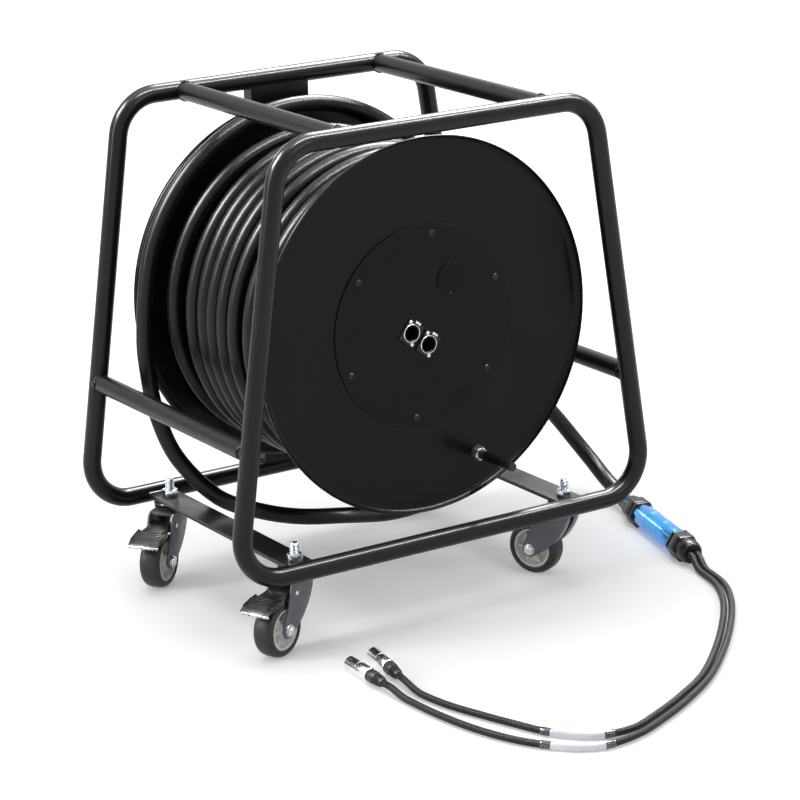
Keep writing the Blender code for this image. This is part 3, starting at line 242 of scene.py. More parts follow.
def setLamps():
    for name, (place, aim, size, watts) in lamps.items():
        bpy.ops.object.light_add(type="AREA", location=place)
        lamp = bpy.context.object
        lamp.name = name + "Softbox"
        lamp.data.shape = "RECTANGLE"
        lamp.data.size, lamp.data.size_y = size
        lamp.data.energy = watts
        lamp.visible_diffuse = name not in shineOnly
        lamp.rotation_euler = (Vector(aim) - Vector(place)).to_track_quat("-Z", "Y").to_euler()


def seenRays(tree):
    # 1 for what the camera sees, itself, in a shine or through clear things, and 0 for plain light
    path = addNode(tree, "LightPath")
    seen = path.outputs["Is Camera Ray"]
    for ray in ("Is Glossy Ray", "Is Transmission Ray"):
        seen = addNode(tree, "Math", {"operation": "MAXIMUM"}, {0: seen, 1: path.outputs[ray]}).outputs[0]
    return seen


def setWorld():
    world = bpy.data.worlds.new("paleStudio")
    bpy.context.scene.world = world
    world.use_nodes = True
    tree = world.node_tree
    tree.nodes.clear()
    level = addNode(tree, "MapRange", {"To Min": 0.36, "To Max": 1.0}, {"Value": seenRays(tree)})
    sky = addNode(tree, "Background", {"Color": (1.0, 1.0, 1.0, 1.0)},
                  {"Strength": level.outputs["Result"]})
    addNode(tree, "OutputWorld", links={"Surface": sky.outputs["Background"]})


def layFloor():
    bpy.ops.mesh.primitive_plane_add(size=50, location=(0, 0, -0.0002))
    floor = bpy.context.object
    floor.name = "paleFloor"
    paper, tree, shader, place = startMaterial("whiteBackdropPaper", {
        "Base Color": linearColour("#f6f6f7"), "Roughness": 0.9, "Specular IOR Level": 0.05,
        "Emission Color": (1.0, 1.0, 1.0, 1.0)})
    # The paper is lit less far away from the lamps, so it is lifted to white there
    away = addNode(tree, "VectorMath", {"operation": "LENGTH"}, {0: place})
    lift = addNode(tree, "MapRange", {"From Min": 0.3, "From Max": 2.2, "To Min": 0.24, "To Max": 0.76},
                   {"Value": away.outputs["Value"]})
    shown = addNode(tree, "Math", {"operation": "MULTIPLY"}, {0: seenRays(tree), 1: lift.outputs["Result"]})
    tree.links.new(shown.outputs[0], shader.inputs["Emission Strength"])
    floor.data.materials.append(paper)


setCamera()
setLamps()
setWorld()
layFloor()
bpy.context.scene.view_settings.view_transform = "Standard"
print("camera, lamps and floor set")


def makeActive(piece):
    bpy.ops.object.select_all(action="DESELECT")
    piece.select_set(True)
    bpy.context.view_layer.objects.active = piece


def takeNew(name):
    piece = bpy.context.object
    piece.name = piece.data.name = name
    return piece


def editMode(on):
    bpy.ops.object.mode_set(mode="EDIT" if on else "OBJECT")


def mergeAndTurnOut(distance=0.00001):
    bpy.ops.mesh.select_all(action="SELECT")
    bpy.ops.mesh.remove_doubles(threshold=distance)
    bpy.ops.mesh.normals_make_consistent(inside=False)


def inMetres(*points):
    return [tuple(share / 1000 for share in point) for point in points]


def shapeAt(x, z, *corners):
    # The corners of an outline or profile, written in millimetres from a place in metres
    return [(x + a / 1000, z + b / 1000) for a, b in corners]


def pullLine(name, line, y=0.0):
    # One corner is pulled out along the line, and the piece is left in edit mode
    bpy.ops.mesh.primitive_plane_add(size=0.001)
    piece = takeNew(name)
    editMode(True)
    bpy.ops.mesh.select_mode(type="VERT")
    bpy.ops.mesh.merge(type="CENTER")
    bpy.ops.transform.translate(value=(line[0][0], y, line[0][1]))
    for (x, z), (nextX, nextZ) in zip(line, line[1:]):
        bpy.ops.mesh.extrude_region_move(TRANSFORM_OT_translate={"value": (nextX - x, 0, nextZ - z)})
    bpy.ops.mesh.select_all(action="SELECT")
    return piece


def spinProfile(name, profile, steps=64):
    # The profile's radii and heights are spun round Z
    piece = pullLine(name, profile)
    bpy.ops.mesh.spin(steps=steps, angle=math.tau, center=(0, 0, 0), axis=(0, 0, 1))
    mergeAndTurnOut()
    editMode(False)
    return piece


def addModifier(piece, kind, settings):
    makeActive(piece)
    step = piece.modifiers.new(kind, kind)
    for key, value in settings.items():
        setattr(step, key, value)
    bpy.ops.object.modifier_apply(modifier=step.name)
    return piece


def softenEdges(piece, width, segments=2, angle=30):
    return addModifier(piece, "BEVEL", {"width": width, "segments": segments, "limit_method": "ANGLE",
                                        "angle_limit": math.radians(angle)})


def cutWith(piece, *cutters):
    for cutter in cutters:
        addModifier(piece, "BOOLEAN", {"operation": "DIFFERENCE", "solver": "EXACT", "object": cutter})
        bpy.data.objects.remove(cutter, do_unlink=True)
    return piece


def joinPieces(piece, *others):
    makeActive(piece)
    for other in others:
        other.select_set(True)
    bpy.ops.object.join()
    return piece


def applyPlace(piece):
    bpy.ops.object.transform_apply(location=True, rotation=True, scale=True)
    return piece


def addCylinder(name, sides, radius, low, high, at=(0.0, 0.0), turn=0.0):
    bpy.ops.mesh.primitive_cylinder_add(vertices=sides, radius=radius, depth=high - low,
                                        location=(at[0], at[1], (low + high) / 2), rotation=(0, 0, turn))
    return applyPlace(takeNew(name))


def addBlock(name, low, high, edge=()):
    # Edge is the width and segments of its bevel, and the angle from which edges get it
    middle = [(a + b) / 2 for a, b in zip(low, high)]
    bpy.ops.mesh.primitive_cube_add(size=1, location=middle, scale=[b - a for a, b in zip(low, high)])
    piece = applyPlace(takeNew(name))
    return softenEdges(piece, *edge) if edge else piece


def centredBlock(name, wide, tall, low, high, edge=()):
    return addBlock(name, (-wide, -tall, low), (wide, tall, high), edge)


def addNut(name, flats, low, high, chamfer, turn):
    return softenEdges(addCylinder(name, 6, flats / math.sqrt(3), low, high, turn=turn), chamfer)


def extrudeOutline(name, outline, low, high, edge):
    # The outline lies in X and Z, and is pulled from y low to y high
    piece = pullLine(name, outline, low)
    bpy.ops.mesh.edge_face_add()
    bpy.ops.mesh.extrude_region_move(TRANSFORM_OT_translate={"value": (0, high - low, 0)})
    mergeAndTurnOut()
    editMode(False)
    return softenEdges(piece, *edge)


def sweepTube(name, points, radius, sides, cyclic=False, asMesh=True):
    curve = bpy.data.curves.new(name, "CURVE")
    curve.dimensions = "3D"
    curve.bevel_depth = radius
    curve.bevel_resolution = max(0, sides // 2 - 2)
    curve.use_fill_caps = not cyclic
    line = curve.splines.new("POLY")
    line.points.add(len(points) - 1)
    for point, place in zip(line.points, points):
        point.co = (*place, 1.0)
    line.use_cyclic_u = cyclic
    line.use_smooth = True
    piece = bpy.data.objects.new(name, curve)
    bpy.context.scene.collection.objects.link(piece)
    if asMesh:
        makeActive(piece)
        bpy.ops.object.convert(target="MESH")
        piece = takeNew(name)
        editMode(True)
        mergeAndTurnOut()
        editMode(False)
    return piece


def putInPlace(piece, matrix):
    makeActive(piece)
    piece.matrix_world = matrix @ piece.matrix_world
    return applyPlace(piece)


def turned(axis, angle):
    return Matrix.Rotation(angle, 4, axis)


def moved(x, y, z):
    return Matrix.Translation((x, y, z))


def copyPiece(piece, name):
    made = piece.copy()
    made.data = piece.data.copy()
    made.name = made.data.name = name
    bpy.context.scene.collection.objects.link(made)
    return made


def finishPiece(piece, body, finish, replaced=None, place=None, angle=35):
    if place:
        putInPlace(piece, place)
    if piece.type == "MESH":
        makeActive(piece)
        bpy.ops.object.shade_smooth_by_angle(angle=math.radians(angle))
    piece.data.materials.clear()
    piece.data.materials.append(finishes[finish])
    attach(piece, body)
    if replaced:
        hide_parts(replaced)
    return piece


def alongLine(line):
    return np.concatenate([[0.0], np.cumsum(np.linalg.norm(np.diff(line, axis=0), axis=1))])


def pointsAt(marks, along, line):
    return [tuple(np.interp(mark, along, line[:, axis]) for axis in range(3)) for mark in marks]


def smoothRoute(route, spacing):
    # A Catmull-Rom curve through the route, whose first and last runs stay straight
    knots = np.array([tuple(point) for point in route], dtype=float)
    dense = []
    for a, b, c, d in zip(knots, knots[1:], knots[2:], knots[3:]):
        for t in np.linspace(0.0, 1.0, 24, endpoint=False):
            dense.append(0.5 * (2 * b + (c - a) * t + (2 * a - 5 * b + 4 * c - d) * t ** 2
                                + (3 * b - a - 3 * c + d) * t ** 3))
    dense = np.array([*dense, knots[-2]])
    along = alongLine(dense)
    marks = np.linspace(0.0, along[-1], max(2, round(along[-1] / spacing) + 1))
    return [tuple(knots[0]), *pointsAt(marks, along, dense), tuple(knots[-1])]


def lineLength(points):
    return float(alongLine(np.array(points))[-1])


quarter = math.pi / 2
drumTurn = math.radians(37)
drumPlace = moved(0, 0, 0.386) @ turned("X", quarter) @ turned("Z", -drumTurn)

# The splitter, its glands and both ends of the snake's free cable
splitterFacts = {"centre": (0.403, -0.129, 0.0183), "heading": math.radians(-105.1), "radius": 0.017,
                 "length": 0.126, "grooves": (0.024, 0.019), "glandFlats": 0.036, "glandLength": 0.050,
                 "gap": 0.0003}
splitterRun = Vector((math.cos(splitterFacts["heading"]), math.sin(splitterFacts["heading"]), 0.0))
splitterMiddle = Vector(splitterFacts["centre"])
splitterReach = splitterFacts["length"] / 2 + splitterFacts["gap"] * 2 + splitterFacts["glandLength"]
splitterPlace = (moved(*splitterFacts["centre"]) @ turned("Z", splitterFacts["heading"] - quarter)
                 @ turned("X", -quarter))


def bothHalves(side):
    return [*side, *((radius, -height) for radius, height in reversed(side))]


def makeSplitterBody():
    radius, half = splitterFacts["radius"], splitterFacts["length"] / 2
    side = shapeAt(radius, half, (-3.5, 0), (-1.2, 0), (-0.3, -0.6), (0, -1.6))
    for groove in splitterFacts["grooves"]:
        side += shapeAt(radius, groove, (0, 1), (-0.8, 0.6), (-0.8, -0.6), (0, -1))
    body = spinProfile("splitterBody", bothHalves([(0.0, half), *side]))
    return finishPiece(body, "trolley", "blue", "splitter_body", splitterPlace)


def makeGland(name, end, node):
    # Thin hexagonal collar, a groove, then the long nut with its smooth dome that squeezes the seal
    facts = splitterFacts
    collar = addNut(name, facts["glandFlats"], 0.0, 0.0060, 0.0012, math.pi / 6)
    nut = addNut(name + "Nut", facts["glandFlats"], 0.0078, 0.0290, 0.0018, math.pi / 6)
    neck = addCylinder(name + "Neck", 48, 0.0160, 0.0050, 0.0090)
    dome = spinProfile(name + "Dome", shapeAt(
        0, 0, (0, 48.5), (10.8, 48.5), (11.2, 49.2), (12, 49.5), (13, 49), (14.5, 47.2), (15.8, 44), (16.6, 40),
        (17, 35), (17, 27), (0, 27)), 48)
    softenEdges(neck, 0.0003, 1)
    joinPieces(collar, nut, neck, dome)
    seat = moved(0, 0, end * (facts["length"] / 2 + facts["gap"]))
    if end < 0:
        seat = seat @ turned("X", math.pi)
    return finishPiece(collar, "trolley", "nylon", node, splitterPlace @ seat)


splitterBody = makeSplitterBody()
rearGland = makeGland("rearGland", -1, "rear_gland")
frontGland = makeGland("frontGland", 1, "front_gland")
print("splitter and glands made")

# The snake: 22 mm multicore, quite stiff. It leaves the winding, runs under and up behind the drum,
# round the rear flange's edge as a slack turn, and down to the floor, where it ends inside the splitter
snakeFacts = {"radius": 0.011, "spacing": 0.009, "sides": 24, "start": (0.17997, -0.1365, 0.2352),
              "heading": (-0.64225, 0.0, -0.76649), "straight": 0.022, "slackRadius": 0.245, "slackY": 0.145,
              "low": inMetres((102, -131, 168), (57, -120, 142), (17, -96, 123), (-8, -60, 108), (-35, 0, 94),
                  (-81, 40, 91), (-132, 60, 104), (-174, 100, 122), (-216, 130, 177), (-240, 138, 241),
                  (-248, 144, 303), (-249, 145, 358)),
              "high": inMetres((247, 139, 386), (250, 135, 337), (260, 132, 291), (280, 128, 252),
                  (311, 124, 219), (354, 121, 178), (403, 118, 122), (427, 102, 84), (439, 79, 57),
                  (443, 52, 37), (442, 22.5, 25.3))}


def snakeRoute():
    facts = snakeFacts
    start, heading = Vector(facts["start"]), Vector(facts["heading"])
    reach = facts["slackRadius"]
    turn = [(reach * math.cos(angle), facts["slackY"], 0.386 + reach * math.sin(angle))
            for angle in np.radians(np.arange(165.0, 9.0, -15.0))]
    end = splitterMiddle - splitterRun * splitterReach
    return [start, start + heading * facts["straight"], *facts["low"], *turn, *facts["high"],
            end - splitterRun * facts["straight"], end, splitterMiddle]


def makeSnake():
    facts = snakeFacts
    points = smoothRoute(snakeRoute(), facts["spacing"])
    snake = sweepTube("snakeCable", points, facts["radius"], facts["sides"], asMesh=False)
    finishPiece(snake, "trolley", "jacket", "snake_cable")
    print(f"snake {lineLength(points):.3f} m")


makeSnake()

# The two leads, about a metre each, with a white sleeve and a metal plug
leadFacts = {"radius": 0.0045, "spacing": 0.006, "sides": 16, "floor": 0.0057, "plugFloor": 0.0098,
             "outletOffset": 0.0048, "sleeveRadius": 0.0054, "sleeveLength": 0.064, "clearRadius": 0.0051,
             "clearReach": 0.013}
leadRoutes = {
    "Upper": {"sign": -1, "plug": (-0.180, -0.352), "heading": 80.0, "sleeve": (-0.083, -0.645),
              "middle": inMetres((360, -270), (342, -330), (298, -398), (220, -484), (135, -561), (68, -602),
                  (8, -631), (-41, -649), (-83, -645), (-112, -624), (-133, -594), (-149, -553), (-164, -510),
                  (-179, -460), (-186, -410))},
    "Lower": {"sign": 1, "plug": (-0.209, -0.362), "heading": 88.0, "sleeve": (-0.099, -0.671),
              "middle": inMetres((370, -273), (352, -335), (306, -405), (227, -492), (141, -569), (73, -613),
                  (12, -644), (-47, -667), (-99, -671), (-133, -654), (-160, -622), (-180, -585), (-196, -535),
                  (-206, -475), (-210, -415))}}
plugFacts = {"gap": 0.0003, "bootLength": 0.032, "shellLength": 0.050, "radius": 0.0095, "bore": 0.0079,
             "boreDepth": 0.011, "slots": ((0.98, 0.0009, 0.030), (0.34, 0.0006, 0.036), (2.9, 0.0012, 0.030))}


def stretchOf(points, start, length, more=0.0):
    # The points of a stretch of the line, from the place nearest to the start, and more at both ends
    line = np.array(points)
    along = alongLine(line)
    low = along[np.linalg.norm(line[:, :2] - np.array(start), axis=1).argmin()]
    return pointsAt(np.linspace(low - more, low + length + more, 16), along, line)


def makeBoot(side, place):
    # A smooth faceted front, five grip rings and a cone towards the lead
    end = plugFacts["gap"] + plugFacts["bootLength"]
    rings = []
    for number in range(5):
        rings = shapeAt(0.0059 + number * 0.00022, 0.0065 + number * 0.0022,
                        (0, 1.5), (1.1, 1.2), (1.1, 0.3), (0, 0)) + rings
    boot = spinProfile("boot" + side, [
        *shapeAt(0, end, (0, 0), (7.4, 0), (7.8, -0.6), (7.8, -12.5), (7.1, -14)), *rings,
        *shapeAt(0, 0, (5.8, 5), (5.4, 1.2), (5, 0.3), (0, 0.3))], 40)
    grips = []
    for number in range(6):
        grip = addBlock(f"boot{side}Grip{number}", (0.0062, -0.0026, end - 0.0115), (0.0085, 0.0026, end - 0.0015),
                        (0.0006,))
        grips.append(putInPlace(grip, turned("Z", math.tau * (number + 0.5) / 6)))
    joinPieces(boot, *grips)
    return finishPiece(boot, "trolley", "boot", "boot_" + side.lower(), place)


def makeShell(side, place):
    # The metal shell: rounded rims, an open front, an insert with its latch, two grip bands and slots
    facts = plugFacts
    low = facts["gap"] * 2 + facts["bootLength"]
    high = low + facts["shellLength"]
    floor, outside = high - facts["boreDepth"], facts["radius"]
    shell = spinProfile("plugShell" + side, [
        (0.0, floor), (facts["bore"], floor), *shapeAt(facts["bore"], high, (0, -0.8), (0.6, 0)),
        *shapeAt(outside, high, (-0.6, 0), (0, -0.8), (0, -24), (-0.6, -24.6), (-0.6, -26.2), (0, -26.8)),
        *shapeAt(outside, low, (0, 1.6), (-1, 0)), (0.0, low)])
    cutters, inlays = [], []
    for angle, wide, long in facts["slots"]:
        slot = addBlock("slotCutter", (outside - 0.0007, -wide, high - long), (outside + 0.002, wide, high + 0.002))
        cutters.append(putInPlace(slot, turned("Z", angle)))
        inlay = addBlock("slotInlay", (outside - 0.0015, -wide, high - long),
                         (outside - 0.0004, wide, high - 0.0006), (0.0001, 1))
        inlays.append(putInPlace(inlay, turned("Z", angle)))
    cutWith(shell, *cutters)
    finishPiece(shell, "trolley", "nickel", "plug_shell_" + side.lower(), place)
    insert = centredBlock("plugInsert" + side, 0.0058, 0.0042, floor - 0.0002, high - 0.0020, (0.0006,))
    latch = addBlock("plugLatch" + side, (-0.0026, 0.0040, floor), (0.0026, 0.0056, high - 0.003), (0.0004,))
    joinPieces(insert, latch, *inlays)
    finishPiece(insert, "trolley", "housing", place=place)
    return [shell, insert]


def makeLead(side, route):
    facts = leadFacts
    across = Vector((-splitterRun.y, splitterRun.x, 0.0))
    outlet = splitterMiddle + splitterRun * splitterReach + across * route["sign"] * facts["outletOffset"]
    angle = math.radians(route["heading"])
    run = Vector((math.cos(angle), math.sin(angle), 0.0))
    plugBack = Vector((*route["plug"], facts["plugFloor"]))
    floor = facts["floor"]
    knots = [outlet, outlet + splitterRun * 0.009, *((x, y, floor) for x, y in route["middle"]),
             plugBack - run * 0.018, plugBack]
    points = [(x, y, max(z, floor)) for x, y, z in smoothRoute(knots, facts["spacing"])]
    lead = sweepTube("lead" + side, points, facts["radius"], facts["sides"], asMesh=False)
    finishPiece(lead, "trolley", "lead", "lead_" + side.lower())
    sleeve = sweepTube("sleeve" + side, stretchOf(points, route["sleeve"], facts["sleeveLength"]),
                       facts["sleeveRadius"], 32)
    softenEdges(sleeve, 0.0007, 3, 60)
    finishPiece(sleeve, "trolley", "sleeve", "sleeve_" + side.lower())
    shrink = sweepTube("clearShrink" + side, stretchOf(points, route["sleeve"], facts["sleeveLength"],
                                                       facts["clearReach"]), facts["clearRadius"], 32)
    softenEdges(shrink, 0.0003, 2, 60)
    finishPiece(shrink, "trolley", "clear")
    place = moved(*plugBack) @ turned("Z", angle + quarter) @ turned("X", quarter)
    boot = makeBoot(side, place)
    shell = makeShell(side, place)
    print(f"lead {side} {lineLength(points):.3f} m")


for sideName, sideRoute in leadRoutes.items():
    makeLead(sideName, sideRoute)

# The wound cable: an outer layer of spread turns over two close inner ones
windingFacts = {"radius": 0.212, "cable": 0.011, "perTurn": 72, "sides": 20, "startTurn": -0.3, "endTurn": 8.611,
                "startY": 0.139, "endY": -0.1365, "climbFrom": 8.40, "climb": 0.0228,
                "places": (0.126, 0.074, 0.045, 0.020, -0.004, -0.034, -0.071, -0.099, -0.122),
                # How far back and inward each step goes, where the first turn dives under the others
                "dive": ((0.020, 0.006), (0.020, 0.012), (0.017, 0.0145))}
innerFacts = {"radii": (0.1877, 0.1686), "pitch": 0.0226, "frontY": -0.1340, "rearY": 0.1478, "perTurn": 48,
              "sides": 14}


def onDrum(angle, radius, y):
    return Vector((radius * math.cos(angle + drumTurn), radius * math.sin(angle + drumTurn), -y))


def makeWinding():
    facts = windingFacts
    first, last, climbFrom = facts["startTurn"], facts["endTurn"], facts["climbFrom"]
    turns = (first, *range(len(facts["places"])), last)
    depths = (facts["startY"], *facts["places"], facts["endY"])
    line = []
    for mark in np.linspace(first, last, round((last - first) * facts["perTurn"]) + 1):
        share = min(1.0, max(0.0, (mark - climbFrom) / (last - climbFrom)))
        radius = facts["radius"] + facts["climb"] * share * share * (3 - 2 * share)
        # Laid by hand, a turn never runs quite true
        stray = 0.0011 * math.sin(mark * 9.1) * min(1.0, max(0.0, mark)) * (1 - share)
        line.append(onDrum(math.pi - math.tau * mark, radius, float(np.interp(mark, turns, depths)) + stray))
    angle = math.pi - math.tau * first
    outward, back = onDrum(angle, 1.0, 0.0), -onDrum(angle - quarter, 1.0, 0.0)
    dive = [line[0]]
    for away, inward in facts["dive"]:
        dive.insert(0, dive[0] + back * away - outward * inward)
    dive = smoothRoute([*dive, line[1], line[2]], 0.006)
    outer = sweepTube("woundCable", [*dive[:-2], *line[1:]], facts["cable"], facts["sides"])
    finishPiece(outer, "drum", "jacket", "cable_winding", drumPlace)
    print(f"wound cable {lineLength(line):.2f} m")


def makeInnerLayers():
    facts = innerFacts
    layers = []
    for number, radius in enumerate(facts["radii"]):
        inset = number * facts["pitch"] / 2
        rear = facts["rearY"] - inset
        count = (rear - facts["frontY"] - inset) / facts["pitch"]
        line = [onDrum(math.pi - math.tau * mark * (1 - 2 * number), radius, rear - mark * facts["pitch"])
                for mark in np.linspace(0.0, count, round(count * facts["perTurn"]) + 1)]
        layers.append(sweepTube(f"innerLayer{number}", line, windingFacts["cable"], facts["sides"]))
    joinPieces(*layers)
    finishPiece(layers[0], "drum", "jacket", "cable_core", drumPlace)


makeWinding()
makeInnerLayers()
print("cable wound on the drum")

# The trolley: two bent loops, four tubes between them and two flat bars for the casters
trolleyFacts = {"radius": 0.0125, "sides": 32, "bendSteps": 14, "bend": 0.057, "y": 0.200, "bottomHalf": 0.3185,
                "topHalf": 0.237, "bottom": 0.112, "top": 0.661, "topTubes": (-0.146, 0.162), "sideRise": 0.170,
                "weld": 0.0014, "puddles": 96, "tubeGap": 0.004, "barX": 0.2125, "barHalf": 0.020, "barEnd": 0.1890,
                "barLow": 0.1095, "barHigh": 0.1145, "barWeld": 0.0015,
                "barWeldY": 0.1877}


def makeLoop(name, y, node):
    facts = trolleyFacts
    low, high, wide, slim = facts["bottom"], facts["top"], facts["bottomHalf"], facts["topHalf"]
    corners = [Vector(corner) for corner in ((-wide, low), (wide, low), (slim, high), (-slim, high))]
    bpy.ops.mesh.primitive_circle_add(vertices=facts["sides"], radius=facts["radius"], fill_type="NOTHING",
                                      location=(0, y, low), rotation=(0, quarter, 0))
    loop = takeNew(name)
    editMode(True)
    bpy.ops.mesh.select_all(action="SELECT")
    place = Vector((0.0, low))
    for index in (1, 2, 3, 0):
        corner = corners[index]
        before = (corners[index - 1] - corner).normalized()
        after = (corners[(index + 1) % 4] - corner).normalized()
        half = before.angle(after) / 2
        start = corner + before * facts["bend"] / math.tan(half)
        centre = corner + (before + after).normalized() * facts["bend"] / math.sin(half)
        bpy.ops.mesh.extrude_region_move(
            TRANSFORM_OT_translate={"value": (start.x - place.x, 0, start.y - place.y)})
        bpy.ops.mesh.spin(steps=facts["bendSteps"], angle=math.pi - 2 * half, center=(centre.x, y, centre.y),
                          axis=(0, 1, 0))
        place = corner + after * facts["bend"] / math.tan(half)
    bpy.ops.mesh.extrude_region_move(TRANSFORM_OT_translate={"value": (-place.x, 0, 0)})
    mergeAndTurnOut(0.0001)
    editMode(False)
    finishPiece(applyPlace(loop), "trolley", "frame", node)


def weldRing(name, middle, along, end):
    # A run of overlapping puddles along the line where a tube meets the loop
    facts = trolleyFacts
    sideways = Vector((0, 1, 0)).cross(along)
    points = []
    for step in range(facts["puddles"]):
        angle = math.tau * step / facts["puddles"]
        reach = facts["radius"] * abs(math.cos(angle)) - 0.0006
        place = (middle + sideways * facts["radius"] * 1.03 * math.cos(angle)
                 + along * facts["radius"] * 0.90 * math.sin(angle))
        points.append((place.x, end * (facts["y"] - reach - 0.0005 * (step % 4 == 0)), place.z))
    return sweepTube(name, points, facts["weld"], 10, cyclic=True)


def makeCrossTube(name, x, z, along, node):
    facts = trolleyFacts
    half = facts["y"] - facts["tubeGap"]
    tube = addCylinder(name, facts["sides"], facts["radius"], -half, half)
    putInPlace(tube, moved(x, 0, z) @ turned("X", quarter))
    joinPieces(tube, *(weldRing(f"{name}Weld{end}", Vector((x, 0, z)), along, end) for end in (-1, 1)))
    finishPiece(tube, "trolley", "frame", node)


def makeBar(name, side, node):
    facts = trolleyFacts
    middle, half = side * facts["barX"], facts["barHalf"]
    bar = addBlock(name, (middle - half, -facts["barEnd"], facts["barLow"]),
                   (middle + half, facts["barEnd"], facts["barHigh"]), (0.0007, 3))
    welds = []
    for end in (-1, 1):
        for height in (facts["barLow"], facts["barHigh"]):
            line = [(middle + half * share, end * (facts["barWeldY"] + 0.0003 * math.sin(share * 40)), height)
                    for share in np.linspace(-0.95, 0.95, 32)]
            welds.append(sweepTube(f"{name}Weld", line, facts["barWeld"], 8))
    joinPieces(bar, *welds)
    finishPiece(bar, "trolley", "caster", node)


def makeTrolley():
    facts = trolleyFacts
    makeLoop("frontLoop", -facts["y"], "front_frame")
    makeLoop("rearLoop", facts["y"], "rear_frame")
    lean = (facts["bottomHalf"] - facts["topHalf"]) / (facts["top"] - facts["bottom"])
    for side, end, topX in (("Left", -1, facts["topTubes"][0]), ("Right", 1, facts["topTubes"][1])):
        ending = side.lower()
        makeCrossTube("topTube" + side, topX, facts["top"], Vector((1, 0, 0)), "top_tube_" + ending)
        makeCrossTube("sideTube" + side, end * (facts["bottomHalf"] - lean * facts["sideRise"]),
                      facts["bottom"] + facts["sideRise"], Vector((-end * lean, 0, 1)).normalized(),
                      "side_tube_" + ending)
        makeBar("casterBar" + side, end, "caster_bar_" + ending)


makeTrolley()
print("trolley frame made")

# Casters: each piece is modelled once, with its wheel trailing to +X, and copied to the four corners
casterFacts = {"trail": 0.044, "wheelRadius": 0.037, "tyreHalf": 0.0145, "rimRadius": 0.0275, "headRadius": 0.0225,
               "headTop": 0.1092, "headLow": 0.0997, "crown": (0.0205, 0.0944, 0.0994), "inside": 0.016,
               "outside": 0.019, "stem": 0.006, "stemTop": 0.1390, "thread": 0.00175, "nutLow": 0.1148,
               "nutHigh": 0.1248, "nutFlats": 0.019, "boltFlats": 0.013, "pivot": (0.024, 0.0815),
               "pedalHalf": 0.022, "pedalReach": 0.095}
casterPlaces = {"front_left": (-0.2125, -0.163, -156.0, True), "rear_left": (-0.2125, 0.163, -144.0, True),
                "front_right": (0.2125, -0.163, 115.0, False), "rear_right": (0.2125, 0.163, 129.7, False)}
wheelPlace = moved(casterFacts["trail"], 0, casterFacts["wheelRadius"]) @ turned("X", quarter)


def makeStem():
    facts = casterFacts
    radius, height = facts["stem"], facts["stemTop"] - 0.0010
    profile = [(0.0, facts["stemTop"]), *shapeAt(radius, facts["stemTop"], (-1.4, 0), (-0.8, -0.7))]
    while height - facts["thread"] > facts["nutHigh"] - 0.0005:
        profile += shapeAt(radius, height, (0, -0.4), (0, -0.6), (-0.9, -1.3), (-0.9, -1.5))
        height -= facts["thread"]
    profile += [(radius, height - 0.0004), (radius, 0.1000), *shapeAt(
        0, 0.0900, (4.8, 9.8), (4.8, 4), (8, 4), (7.8, 2.5), (6.6, 1.4), (4, 1.1), (0, 1.1))]
    stem = spinProfile("stem", profile, 32)
    nut = addNut("stemNut", facts["nutFlats"], facts["nutLow"], facts["nutHigh"], 0.0011, 0.4)
    collar = spinProfile("stemCollar", shapeAt(0, facts["nutHigh"], (0, 0.4), (7.4, 0.4), (7.8, -0.2), (0, -0.2)),
                         32)
    return joinPieces(stem, nut, collar)


def makeSwivelHead():
    # Two pressed cups with the ball race between them
    top, low, wide = casterFacts["headTop"], casterFacts["headLow"], casterFacts["headRadius"]
    return spinProfile("swivelHead", [
        (0.0065, top), *shapeAt(wide, top, (-3, 0), (-1, -0.5), (0, -1.8), (0, -3.2), (-1, -4.2), (-4.5, -4.7),
                                (-4.8, -5.3), (-1.8, -5.8), (-0.6, -6.6), (-0.6, -8)),
        *shapeAt(wide, low, (-1.6, 0.5), (-4, 0)), (0.0065, low), (0.0065, top)], 48)


def legOutline():
    facts = casterFacts
    tip = [(facts["trail"] + 0.011 * math.cos(angle), facts["wheelRadius"] + 0.011 * math.sin(angle))
           for angle in np.radians(np.linspace(25.0, -120.0, 12))]
    return [*shapeAt(0, 0, (-13.5, 99.4), (30, 99.4), (33.5, 95.5), (36.2, 88.5), (39, 80), (42.5, 69), (47.5, 57),
                     (52.5, 47)), *tip,
            *shapeAt(0, 0, (30, 33), (20, 39.5), (10, 48), (1, 58), (-6, 69), (-11, 80), (-13.5, 90))]


def makeFork():
    facts = casterFacts
    crown = softenEdges(addCylinder("fork", 48, *facts["crown"]), 0.0012, 3)
    outline = legOutline()
    lip = outline[-6:] + [outline[0]]
    middle = Vector((0.030, 0.070))
    band = lip + [tuple(Vector(p) + (middle - Vector(p)).normalized() * 0.0026) for p in reversed(lip)]
    sides = []
    for end in (-1, 1):
        for name, shape, near, far, width in (("leg", outline, facts["inside"], facts["outside"], 0.0007),
                                              ("turnedEdge", band, 0.0055, facts["outside"] - 0.0004, 0.0006)):
            sides.append(extrudeOutline(name, shape, *sorted((end * near, end * far)), (width,)))
        for x, z in ((0.0265, 0.0860), (0.0220, 0.0700)):
            rivet = spinProfile("rivet", shapeAt(0, 0, (0, 1), (1.4, 0.9), (2.2, 0.3), (2.3, -1), (0, -1)), 16)
            sides.append(putInPlace(rivet, moved(x, end * facts["outside"], z) @ turned("X", -end * quarter)))
    sides.append(addBlock("bridge", (-0.0125, -0.0180, 0.0949), (0.0290, 0.0180, 0.0990), (0.0008,)))
    return joinPieces(crown, *sides)


